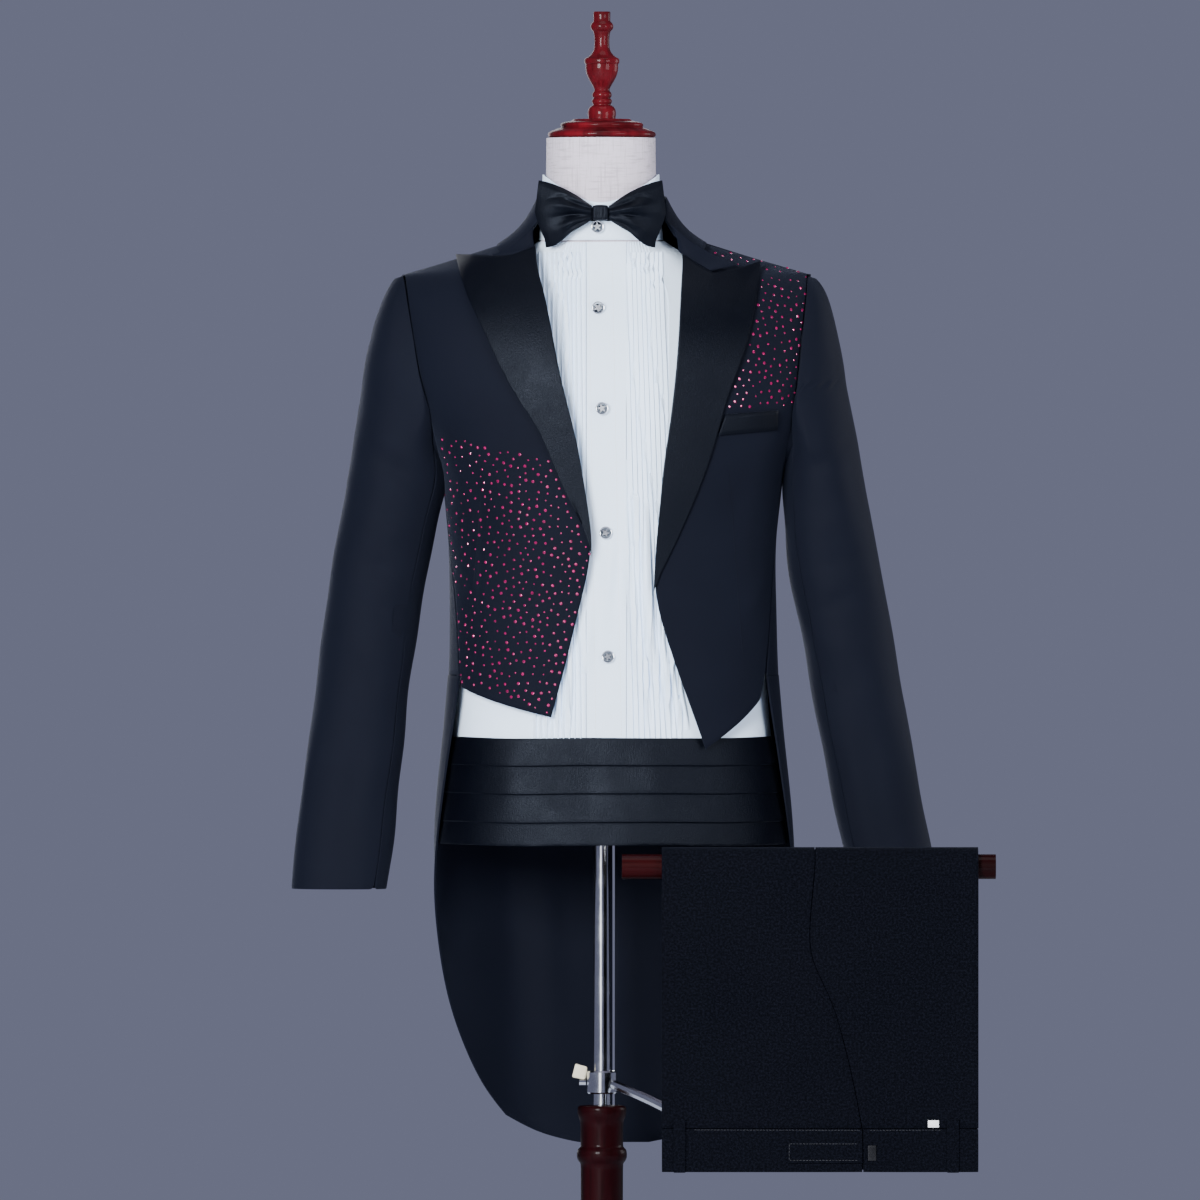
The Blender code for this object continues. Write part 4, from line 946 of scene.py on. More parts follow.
# ------------------------------------------------------------------ tailcoat
@dataclass
class CoatSeams:
    """The seam allowances inside one half of the tailcoat, and its front dart.

    The armhole is a ring of y and z, with its own x on each side, in tenths of a millimetre.

    Attributes:
        dresser: holds the materials.
        side: right or left.
        mark: -1 for the wearer's right, 1 for the left.
        made: the coat's pieces by name.
    """

    dresser: Dresser
    side: str
    mark: int
    made: dict[str, Piece]
    depth: float = 0.0007
    thickness: float = 0.0005
    dart_section: Line = ((0.0010, -0.0004), (0.0003, 0.0003), (-0.0004, 0.0004), (-0.0012, -0.0003))
    dart_steps: int = 60
    side_levels: Point2 = (0.9700, 1.2350)
    side_turns: tuple[float, ...] = (68, 76, 84, 92, 100)
    shoulder_reach: Point2 = (0.0620, 0.2160)
    shoulder_shifts: tuple[float, ...] = (-0.012, -0.008, 0.009, 0.013)
    shoulder_foot: float = 1.38
    waist_reach: Point2 = (0.0040, 0.1400)
    waist_shifts: tuple[float, ...] = (-0.010, -0.004, 0.004, 0.010)
    waist_depth: float = 0.0009
    sleeve_levels: Point2 = (0.7800, 1.1700)
    sleeve_turns: tuple[float, ...] = (-0.36, -0.18, 0.0, 0.18, 0.36)
    ring_section: Line = ((-0.0060, 0.930), (0.0, 0.962), (0.0030, 0.964), (0.0095, 0.945))
    ring_rise: float = 0.010
    ring_foot: float = 2.8
    ring_steps: int = 65
    darts: dict[str, Line] = field(default_factory=lambda: {
        "right": ((-0.1250, 1.2067), (-0.1323, 1.1080), (-0.1460, 0.9725)),
        "left": ((0.1330, 1.2067), (0.1400, 1.1080), (0.1480, 1.0060)),
    })
    armhole: Rings = (
        (11, 14042), (-201, 13985), (-404, 13752), (-543, 13399), (-598, 12982), (-554, 12575),
        (-425, 12231), (-231, 12002), (-27, 11921), (254, 12002), (467, 12231), (610, 12575),
        (662, 12983), (621, 13403), (488, 13759), (284, 13992),
    )
    armhole_x: dict[str, tuple[int, ...]] = field(default_factory=lambda: {
        "right": (
            -2101, -2048, -2014, -1961, -1896, -1793, -1713, -1674, -1666, -1666, -1682, -1741, -1851, -1914,
            -1971, -2015,
        ),
        "left": (
            2174, 2136, 2119, 2083, 2050, 1987, 1925, 1892, 1886, 1885, 1894, 1935, 2005, 2037, 2077, 2103,
        ),
    })

    def build(self) -> None:
        """Lay every strip in the order of the seams."""
        self.armhole_seam()
        self.side_seam()
        self.shoulder_seam()
        self.waist_seam()
        self.sleeve_seam()
        strip = laid_strip(tree_of(self.piece("wool_front")), self.darts[self.side], self.dart_section,
                           self.dart_steps)
        self.strip("front_dart", [strip], 0.0003)

    def piece(self, name: str) -> Piece:
        """This half's piece of a name without its side."""
        return self.made[f"{name}_{self.side}"]

    def strip(self, name: str, rows: list[np.ndarray], thickness: float, ring: bool = False) -> None:
        """Make strips of the coat's own wool.

        Args:
            name: the piece's name without its side.
            rows: for each strip its rows of points.
            thickness: of the cloth.
            ring: whether each strip's last row is its first.
        """
        self.dresser.finish(ribbon(f"{name}_{self.side}", rows, thickness, ring), Finishes.WOOL, 60)

    def armhole_seam(self) -> None:
        """The ring inside the armhole, from the body's edge into the sleeve's, longer at its back foot."""
        ring = np.column_stack([self.armhole_x[self.side], self.armhole]) / TENTHS
        middle = ring[:, 1:].mean(axis=0)
        turns = np.linspace(0, len(ring), self.ring_steps)
        knots = np.arange(len(ring) + 1)
        closed = np.vstack([ring, ring[:1]])
        fine = np.stack([np.interp(turns, knots, closed[:, i]) for i in range(3)], axis=1)
        rows = []
        for point in fine:
            top = self.ring_rise * min(max((point[2] - 1.36) / 0.04, 0.0), 1.0)
            foot = min(max(point[1] / 0.03, 0.0), 1.0) * min(max((1.31 - point[2]) / 0.04, 0.0), 1.0)
            row = []
            for shift, share in self.ring_section:
                y, z = middle + (point[1:] - middle) * (share + top)
                row.append((point[0] + self.mark * shift * (1 + self.ring_foot * foot * (shift > 0)), y, z))
            rows.append(row)
        self.strip("armhole_seam", [np.array(rows)], 0.0008, ring=True)

    def side_seam(self) -> None:
        """The strip behind the side seam."""
        tree = tree_of(self.piece("wool_front"), self.piece("wool_back"))
        rows = []
        for z in np.linspace(*self.side_levels, 50):
            turns = [self.mark * math.radians(turn) for turn in self.side_turns]
            rows.append(self.row_round(tree, Vector((0, 0, z)), turns, 0.4, 0.35))
        self.strip("side_seam", [np.array([row for row in rows if row])], self.thickness)

    def row_round(self, tree: BVHTree, middle: Vector, turns: list[float], far: float,
                  reach: float) -> list[tuple[float, ...]]:
        """A row of points just under the cloth round a middle, or none where the cloth has a gap.

        Args:
            tree: the cloth.
            middle: what the cloth goes round.
            turns: angles from the front, in radians.
            far: how far out the look starts.
            reach: how far it goes.

        Returns:
            The row.
        """
        ways = [Vector((math.sin(turn), -math.cos(turn), 0)) for turn in turns]
        return row_under(tree, [(middle + way * far, -way) for way in ways], reach, self.depth)

    def shoulder_seam(self) -> None:
        """The strip under the shoulder seam, from the collar into the sleeve's head."""
        front = points_of(self.piece("wool_front"))
        tree = tree_of(self.piece("wool_front"), self.piece("wool_back"))
        rows = []
        for x in np.linspace(*self.shoulder_reach, 40) * self.mark:
            near = front[(np.abs(front[:, 0] - x) < 0.006) & (front[:, 2] > self.shoulder_foot)]
            if not len(near):
                continue
            top = near[:, 1].max()
            looks = [(Vector((x, top + shift, 1.6)), Vector((0, 0, -1))) for shift in self.shoulder_shifts]
            rows.append(row_under(tree, looks, 0.3, self.depth))
        ends = np.array([row for row in rows if row])
        rows = np.concatenate([[ends[0] * 2 - ends[1]], ends, [ends[-1] * 3 - ends[-2] * 2]])
        self.strip("shoulder_seam", [rows], self.thickness)

    def waist_seam(self) -> None:
        """The strip behind this half of the back waist seam."""
        tree = tree_of(self.piece("wool_back"), self.piece("wool_tail"))
        tail = points_of(self.piece("wool_tail"))
        rows = []
        for x in np.linspace(*self.waist_reach, 50) * self.mark:
            near = tail[np.abs(tail[:, 0] - x) < 0.006]
            if not len(near):
                continue
            top = near[:, 2].max()
            looks = [(Vector((x, 0.5, top + shift)), Vector((0, -1, 0))) for shift in self.waist_shifts]
            rows.append(row_under(tree, looks, 0.6, self.waist_depth))
        self.strip("waist_seam", [np.array([row for row in rows if row])], self.thickness)

    def sleeve_seam(self) -> None:
        """The strips along the sleeve's front and back seams."""
        tree = tree_of(self.piece("wool_sleeve_top"), self.piece("wool_sleeve_under"))
        points = points_of(self.piece("wool_sleeve_under"))
        strips = []
        for ahead in (-1, 1):
            rows = []
            for z in np.linspace(*self.sleeve_levels, 70):
                middle = Vector((*sleeve_middle(SLEEVES[self.mark], z), z))
                near = points[np.abs(points[:, 2] - z) < 0.010]
                edge = near[np.argmax(near[:, 1] * ahead)]
                turn = math.atan2(edge[0] - middle.x, -(edge[1] - middle.y))
                turns = [turn + shift for shift in self.sleeve_turns]
                rows.append(self.row_round(tree, middle, turns, 0.15, 0.14))
            strips.append(np.array([row for row in rows if row]))
        self.strip("sleeve_seam", strips, self.thickness)


@dataclass
class Tailcoat:
    """The navy-black tailcoat with its satin facings."""

    dresser: Dresser
    front_folds: Rows = (
        (-0.150, 1.225, -0.120, 1.120, -0.0030, 0.016, 0.006),
        (0.150, 1.215, 0.125, 1.110, -0.0030, 0.016, -0.006),
        (-0.126, 1.205, -0.140, 0.985, -0.0012, 0.0035, 0.0),
        (-0.168, 1.110, -0.120, 1.050, 0.0024, 0.014, 0.003),
        (0.172, 1.090, 0.130, 1.040, 0.0024, 0.014, 0.003),
    )
    back_folds: Rows = (
        (-0.060, 1.330, -0.095, 1.130, -0.0030, 0.020, 0.008),
        (0.060, 1.330, 0.095, 1.130, -0.0030, 0.020, -0.008),
        (-0.120, 1.120, -0.030, 1.080, 0.0024, 0.015, 0.004),
        (0.120, 1.110, 0.030, 1.075, 0.0024, 0.015, -0.004),
        (-0.140, 1.060, -0.050, 1.035, -0.0022, 0.012, 0.004),
        (0.140, 1.055, 0.050, 1.030, -0.0022, 0.012, -0.004),
    )
    tail_folds: Rows = (
        (0.060, 0.960, 0.048, 0.520, -0.0050, 0.017, 0.006),
        (0.100, 0.960, 0.092, 0.560, 0.0045, 0.018, 0.005),
        (0.140, 0.950, 0.150, 0.640, -0.0042, 0.016, 0.004),
    )
    press_level: float = 1.195
    press_depth: float = 0.0115
    press_back: float = 0.0350
    outer_levels: tuple[float, ...] = (
        0.80, 0.90, 0.95, 1.00, 1.13, 1.16, 1.19, 1.25, 1.30, 1.338, 1.37, 1.41,
    )
    outer_moves: dict[int, tuple[float, ...]] = field(default_factory=lambda: {
        -1: (0.0, 0.0, 0.0, 0.0, 0.0020, 0.0036, 0.0048, 0.0014, -0.0024, -0.0058, -0.0040, 0.0),
        1: (0.0, 0.0020, 0.0036, 0.0034, 0.0036, 0.0036, 0.0032, 0.0016, 0.0008, 0.0, 0.0, 0.0),
    })

    def build(self) -> dict[str, Piece]:
        """Build the coat's pieces.

        Returns:
            The pieces by name.
        """
        wool, satin = Finishes.WOOL, Finishes.SATIN
        made: dict[str, Piece] = {}
        folds = folds_at(on_front, self.front_folds) + folds_at(on_back, self.back_folds)
        torso = {"lie": Lie.TORSO, "folds": folds, "held": "hung", "swell": 0.0010, "seed": 11}
        for side, mark in SIDES:
            pieces = [
                ClothPiece(f"coat_front_{side}", f"wool_front_{side}", wool, flat=(0.21, 0.56), levels=3,
                           rests_on=(f"linen_shirt_front_{side}",), area=0.082, **torso),
                ClothPiece(f"coat_back_{side}", f"wool_back_{side}", wool, flat=(0.25, 0.54), levels=3,
                           rests_on=("shirt_back_panel",), area=0.113, **torso),
                ClothPiece(f"lapel_{side}", f"satin_lapel_{side}", satin, flat=(0.11, 0.35),
                           rests_on=(f"wool_front_{side}",), area=0.0182, levels=3, **torso),
                ClothPiece(f"coat_tail_{side}", f"wool_tail_{side}", wool, Lie.BACK, (0.24, 0.60), "hung",
                           (f"wool_back_{side}",), folds_at(on_flat, self.tail_folds, mark), levels=3,
                           swell=0.0022, swell_size=0.16, seed=21, area=0.116),
            ]
            for half, flat, area in (("top", (0.21, 0.68), 0.11), ("under", (0.16, 0.66), 0.066)):
                pieces.append(ClothPiece(f"sleeve_{half}_{side}", f"wool_sleeve_{half}_{side}", wool,
                                         SLEEVES[mark], flat, "hung", (f"wool_front_{side}",),
                                         self.sleeve_folds(mark), levels=3, swell=0.0016, swell_size=0.075,
                                         seed=31 + mark, area=area, shape=self.press_in, relax=9))
            for piece in pieces:
                made[piece.name] = piece.build(self.dresser)
        collar = ClothPiece("coat_collar", "wool_collar", wool, Lie.TORSO, (0.075, 0.30), "folded",
                            ("wool_back_right", "wool_back_left"), swell=0.0005, swell_size=0.08, seed=12)
        welt = ClothPiece("welt_pocket", "satin_welt", satin, flat=(0.03, 0.065),
                          rests_on=("wool_front_left",), levels=2, **torso)
        made["wool_collar"] = collar.build(self.dresser)
        made["satin_welt"] = welt.build(self.dresser)
        for side, mark in SIDES:
            CoatSeams(self.dresser, side, mark, made).build()
        return made

    def press_in(self, points: np.ndarray, out: np.ndarray) -> np.ndarray:
        """Let a sleeve lie against the coat under the arm, and give its outer line its last millimetres.

        Args:
            points: rows of x, y, z.
            out: the outward ways.

        Returns:
            The moved points.
        """
        side = np.sign(points[:, 0])
        inner = np.clip(-out[:, 0] * side, 0, 1)
        z = points[:, 2]
        near = np.exp(-(((z - self.press_level) / np.where(z > self.press_level, 0.055, 0.042)) ** 2))
        moved = points.copy()
        ahead = np.clip((self.press_back - points[:, 1]) / 0.05, 0, 1)
        moved[:, 0] -= side * self.press_depth * inner * near * ahead
        outer = np.clip(out[:, 0] * side, 0, 1)
        for mark, moves in self.outer_moves.items():
            moved[:, 0] += np.where(side == mark, mark * outer * np.interp(z, self.outer_levels, moves), 0)
        return moved

    def sleeve_folds(self, mark: int) -> tuple[Fold, ...]:
        """Drag lines and elbow creases of one sleeve, on its own map.

        Args:
            mark: -1 for the wearer's right, 1 for the left.
        """
        tilt = 0.006 * mark
        return (
            Fold((-0.040, 1.165 + tilt), (0.035, 1.235), -0.0034, 0.010, 0.004),
            Fold((-0.045, 1.120), (0.030, 1.150 + tilt), 0.0026, 0.010, 0.003),
            Fold((-0.040, 1.085 + tilt), (0.045, 1.110), -0.0040, 0.009, 0.004),
            Fold((-0.050, 1.040), (0.030, 1.075 + tilt), -0.0036, 0.009, -0.003),
            Fold((-0.048, 1.000 + tilt), (0.040, 1.020), 0.0026, 0.009, 0.003),
            Fold((-0.036, 0.965), (0.020, 0.985), -0.0026, 0.008, 0.002),
            Fold((0.018, 1.240), (0.024, 1.120), -0.0018, 0.013, 0.003),
            Fold((-0.010, 0.930), (0.004, 0.790), -0.0022, 0.012, 0.003),
            Fold((0.045, 0.950), (0.052, 0.800), 0.0020, 0.012, 0.003),
            Fold((0.110, 1.110), (0.175, 1.085), -0.0030, 0.010, 0.003),
            Fold((0.105, 1.050), (0.180, 1.040), 0.0026, 0.010, 0.003),
            Fold((0.120, 1.010), (0.185, 0.995), -0.0026, 0.010, 0.003),
        )


# ------------------------------------------------------------------ shirt, tie and sash
@dataclass
class DressShirt:
    """The white shirt with its pin-tucked bib, collar and placket."""

    dresser: Dresser
    swells: Rows = (
        (0.026, 1.170, 0.050, 0.970, 0.0085, 0.0060, -0.003),
        (0.012, 1.150, 0.000, 1.035, 0.0052, 0.0065, 0.002),
        (-0.014, 1.080, -0.022, 0.960, 0.0034, 0.0060, 0.001),
        (0.066, 1.020, 0.082, 0.930, 0.0040, 0.0060, 0.001),
        (-0.040, 1.010, -0.044, 0.925, 0.0026, 0.0050, 0.001),
        (0.064, 1.370, 0.060, 1.250, 0.0014, 0.0070, 0.001),
    )
    tucks: int = 10
    tuck_steps: int = 90
    tuck_top: float = 1.4290
    tuck_bottom: float = 0.9190
    tuck_lines: dict[str, tuple[Point2, Point2]] = field(default_factory=lambda: {
        "right": ((-0.0180, -0.0047), (-0.0098, -0.0059)), "left": ((0.0165, 0.0046), (0.0270, 0.0056)),
    })
    fold_lines: dict[str, Rows] = field(default_factory=lambda: {
        "left": (
            (0.0360, 1.1800, 0.0560, 0.9500, 0.0090, 0.0085, 0.45),
            (0.0270, 1.2400, 0.0400, 1.0400, 0.0050, 0.0060, 0.40),
            (0.0620, 1.0700, 0.0680, 0.9280, 0.0056, 0.0042, 0.40),
            (0.0720, 1.0300, 0.0780, 0.9280, 0.0056, 0.0040, 0.40),
            (0.0800, 1.0000, 0.0870, 0.9280, 0.0050, 0.0036, 0.40),
            (0.0460, 1.0200, 0.0480, 0.9280, 0.0036, 0.0036, 0.40),
        ),
        "right": (
            (-0.0320, 1.0700, -0.0380, 0.9280, 0.0048, 0.0045, 0.40),
            (-0.0450, 1.0400, -0.0490, 0.9280, 0.0046, 0.0042, 0.40),
            (-0.0570, 1.0200, -0.0610, 0.9280, 0.0046, 0.0042, 0.40),
            (-0.0230, 1.1600, -0.0250, 1.0000, 0.0034, 0.0048, 0.40),
        ),
    })
    fold_sink: float = 0.0004
    fold_stray: float = 0.0016
    fold_points: int = 13
    fold_steps: int = 44
    tuck_section: Line = ((0.0010, -0.0006), (0.0, 0.0021), (-0.0016, 0.0013), (-0.0038, -0.0002))

    def build(self) -> None:
        """Build the shirt's pieces."""
        white = Finishes.SHIRT
        folds = folds_at(on_front, self.swells)
        bib = {"folds": folds, "levels": 3, "swell": 0.0004, "swell_size": 0.09, "seed": 5}
        for side, _ in SIDES:
            piece = ClothPiece(f"shirt_front_{side}", f"linen_shirt_front_{side}", white, Lie.TORSO,
                               (0.26, 0.66), "hung", ("dress_form",), area=0.126, relax=10, **bib)
            front = piece.build(self.dresser)
            pressed = self.soft_folds(side, front)
            self.pin_tucks(side, front, pressed)
        ClothPiece("shirt_back", "shirt_back_panel", white, Lie.TORSO, (0.46, 0.62), "hung", ("dress_form",),
                   swell=0.0004, swell_size=0.12, seed=6, area=0.275).build(self.dresser)
        ClothPiece("shirt_placket", "shirt_placket_strip", white, Lie.TORSO, (0.045, 0.62), "folded",
                   ("linen_shirt_front_left",), **bib).build(self.dresser)
        ClothPiece("shirt_collar", "shirt_collar_band", white, Lie.TORSO, (0.075, 0.42), "folded",
                   ("dress_form",), swell=0.0003, swell_size=0.05, seed=7, area=0.024).build(self.dresser)

    def soft_folds(self, side: str, front: Piece) -> Piece:
        """The shirt front's soft folds, where its cloth stands off the form.

        Args:
            side: right or left.
            front: the shirt front.

        Returns:
            The folds.
        """
        tree = tree_of(front)
        strips = []
        for *ends, height, half, lean in self.fold_lines[side]:
            start, end = np.array(ends[:2]), np.array(ends[2:])
            rows = []
            for part in np.linspace(0, 1, self.fold_steps):
                x, z = start + (end - start) * part
                rise = height * math.sin(math.pi * min(max(part, 0.02), 0.98)) ** 0.8
                row = []
                for share in np.linspace(-1, 1, self.fold_points):
                    stray = self.fold_stray * math.sin(part * 5 + half * 900)
                    at = x + half * (share + lean * (1 - share * share)) + stray
                    found = front_hit(tree, at, z)
                    if found is not None:
                        lift = rise * (0.5 + 0.5 * math.cos(math.pi * share)) - self.fold_sink
                        row.append((found[0].x, found[0].y - lift, found[0].z))
                if len(row) == self.fold_points:
                    rows.append(row)
            strips.append(np.array(rows))
        return self.dresser.finish(ribbon(f"shirt_folds_{side}", strips, 0.0005), Finishes.SHIRT, 60)

    def pin_tucks(self, side: str, *cloth: Piece) -> Piece:
        """The bib's pressed pin-tucks, each a fine fold pressed the same way.

        Args:
            side: right or left.
            cloth: the shirt front that they are pressed into, with its folds.

        Returns:
            The tucks.
        """
        tree = tree_of(*cloth)
        strips = []
        top, bottom = self.tuck_lines[side]
        for index in range(1, self.tucks + 1):
            line = ((top[0] + top[1] * index, self.tuck_top),
                    (bottom[0] + bottom[1] * index, self.tuck_bottom))
            strips.append(laid_strip(tree, line, self.tuck_section, self.tuck_steps))
        return self.dresser.finish(ribbon(f"shirt_tucks_{side}", strips, 0.0004), Finishes.SHIRT, 35)


@dataclass
class SatinTrim:
    """The bow tie and the cummerbund."""

    dresser: Dresser
    knot_folds: Rows = (
        (-0.0055, 1.4780, -0.0050, 1.4610, -0.0009, 0.0009, 0.0),
        (-0.0018, 1.4790, -0.0022, 1.4620, -0.0007, 0.0008, 0.0),
        (0.0020, 1.4780, 0.0016, 1.4610, -0.0009, 0.0009, 0.0),
    )
    bow_middle: float = -0.0016
    bow_folds: Rows = (
        (0.006, 1.4700, 0.052, 1.4655, -0.0030, 0.0022, 0.0010),
        (0.006, 1.4735, 0.044, 1.4880, -0.0026, 0.0024, -0.0012),
        (0.012, 1.4720, 0.054, 1.4790, 0.0022, 0.0036, 0.0010),
        (0.006, 1.4665, 0.040, 1.4500, -0.0024, 0.0022, 0.0012),
        (0.014, 1.4670, 0.050, 1.4540, 0.0020, 0.0034, 0.0010),
        (0.030, 1.4900, 0.056, 1.4850, -0.0012, 0.0018, 0.0),
    )
    sash_folds: Rows = (
        (-0.020, 0.920, -0.016, 0.820, -0.0022, 0.016, 0.002),
        (0.052, 0.920, 0.060, 0.820, 0.0016, 0.014, 0.002),
        (-0.110, 0.910, -0.100, 0.830, 0.0014, 0.016, 0.002),
    )

    def build(self) -> None:
        """Build the tie and the sash."""
        satin = Finishes.SATIN
        for side, mark in SIDES:
            folds = folds_at(self.beside_knot, self.bow_folds, mark)
            ClothPiece(f"bow_wing_{side}", f"bow_{side}", satin, Lie.FRONT, (0.11, 0.16), "gathered",
                       ("bow_centre",), folds, levels=3, swell=0.0005, swell_size=0.022, seed=51 + mark,
                       shape=self.gather, sheet=False).build(self.dresser)
        ClothPiece("bow_knot", "bow_centre", satin, Lie.FRONT, (0.03, 0.05), "folded", ("bow_right",),
                   folds_at(on_flat, self.knot_folds), levels=3, swell=0.0, sheet=False).build(self.dresser)
        ClothPiece("bow_band", "bow_neck_band", satin, Lie.TORSO, (0.02, 0.40), "hung",
                   ("shirt_collar_band",), swell=0.0).build(self.dresser)
        ClothPiece("sash_front", "sash_pleats", satin, Lie.TORSO, (0.16, 0.50), "hung",
                   ("linen_shirt_front_right",), folds_at(on_front, self.sash_folds), levels=3, swell=0.0012,
                   swell_size=0.09, seed=15, area=0.07, shape=self.settle_pleats, relax=3).build(self.dresser)
        ClothPiece("sash_strap", "sash_back_strap", satin, Lie.TORSO, (0.035, 0.46), "hung",
                   ("shirt_back_panel",), swell=0.0003, swell_size=0.10, seed=15).build(self.dresser)

    def settle_pleats(self, points: np.ndarray, out: np.ndarray) -> np.ndarray:
        """Let the sash's pleats run a little uneven.

        Args:
            points: rows of x, y, z.
            out: the outward ways, not used.

        Returns:
            The moved points.
        """
        moved = points.copy()
        moved[:, 2] += 0.0007 * unevenness(points * np.array([1, 1, 0.2]), 0.11, 16)
        return moved

    def beside_knot(self, x: float, z: float) -> Point2:
        """Map point of a wing at a distance from the knot's middle."""
        return (self.bow_middle + x, z)

    def gather(self, points: np.ndarray, out: np.ndarray) -> np.ndarray:
        """Fan the fine folds of the bow out from its knot.

        Args:
            points: rows of x, y, z.
            out: the outward ways, not used.

        Returns:
            The moved points.
        """
        x = points[:, 0] - self.bow_middle
        z = points[:, 2] - 1.4705
        far = np.clip(np.abs(x) / 0.055, 0, 1)
        spread = z / (0.010 + 0.026 * far)
        deep = 0.0006 + 0.0016 * np.sin(np.clip(far, 0.05, 1) * 2.6)
        wave = np.sin(spread * 5.4 + 0.8 * np.sin(x * 60)) * deep
        moved = points.copy()
        front = np.clip((-0.062 - points[:, 1]) / 0.02, 0, 1)
        moved[:, 1] -= wave * front
        low = np.clip(-z / 0.024, 0, 1) ** 1.5 * np.clip((far - 0.55) / 0.45, 0, 1)
        moved[:, 0] -= np.sign(x) * low * 0.0075
        moved[:, 2] -= low * 0.0045
        return moved


# ------------------------------------------------------------------ trousers
@dataclass
class Trousers:
    """The trousers folded over the bar."""

    dresser: Dresser
    leg_folds: Rows = (
        (0.085, 0.760, 0.082, 0.500, -0.0014, 0.010, 0.002),
        (0.160, 0.770, 0.150, 0.560, 0.0012, 0.016, 0.003),
        (0.205, 0.740, 0.214, 0.690, -0.0016, 0.005, 0.001),
        (0.300, 0.770, 0.330, 0.520, 0.0012, 0.018, 0.004),
        (0.365, 0.770, 0.362, 0.540, -0.0012, 0.014, 0.003),
        (0.222, 0.682, 0.262, 0.560, -0.0016, 0.0045, 0.010),
        (0.120, 0.790, 0.320, 0.786, 0.0006, 0.012, 0.0),
    )

    def build(self) -> None:
        """Build the trousers' pieces."""
        wool = Finishes.TROUSER
        legs = {"folds": folds_at(on_flat, self.leg_folds), "swell_size": 0.08}
        for side, flat, area in (("left", (0.18, 0.62), 0.101), ("right", (0.21, 0.62), 0.104)):
            ClothPiece(f"trouser_front_{side}", f"wool_trouser_{side}", wool, Lie.FRONT, flat, "folded",
                       ("trouser_bar",), levels=3, swell=0.0005, seed=41, area=area,
                       **legs).build(self.dresser)
            band = (flat[0] - 0.03, 0.048)
            ClothPiece(f"waistband_{side}", f"wool_waistband_{side}", wool, Lie.FRONT, band, "folded",
                       (f"wool_trouser_{side}",), levels=3, swell=0.0004, seed=42, **legs).build(self.dresser)
            ClothPiece(f"belt_loop_{side}", f"wool_belt_loop_{side}", wool, Lie.FRONT, (0.014, 0.06),
                       "folded", (f"wool_waistband_{side}",), swell=0.0).build(self.dresser)
        ClothPiece("trouser_folded_layers", "wool_folded_legs", wool, Lie.FRONT, (0.33, 0.60), "folded",
                   ("trouser_bar",), swell=0.0006, seed=43, sheet=False, **legs).build(self.dresser)
        ClothPiece("waist_tab", "wool_waist_tab", wool, Lie.FRONT, (0.075, 0.022), "folded",
                   ("wool_waistband_right",), swell=0.0).build(self.dresser)
        ClothPiece("bare_tag", "bare_tag_slip", Finishes.LABEL, Lie.FRONT, (0.011, 0.007), "laid",
                   ("wool_waistband_right",), levels=1, swell=0.0, sheet=False).build(self.dresser)


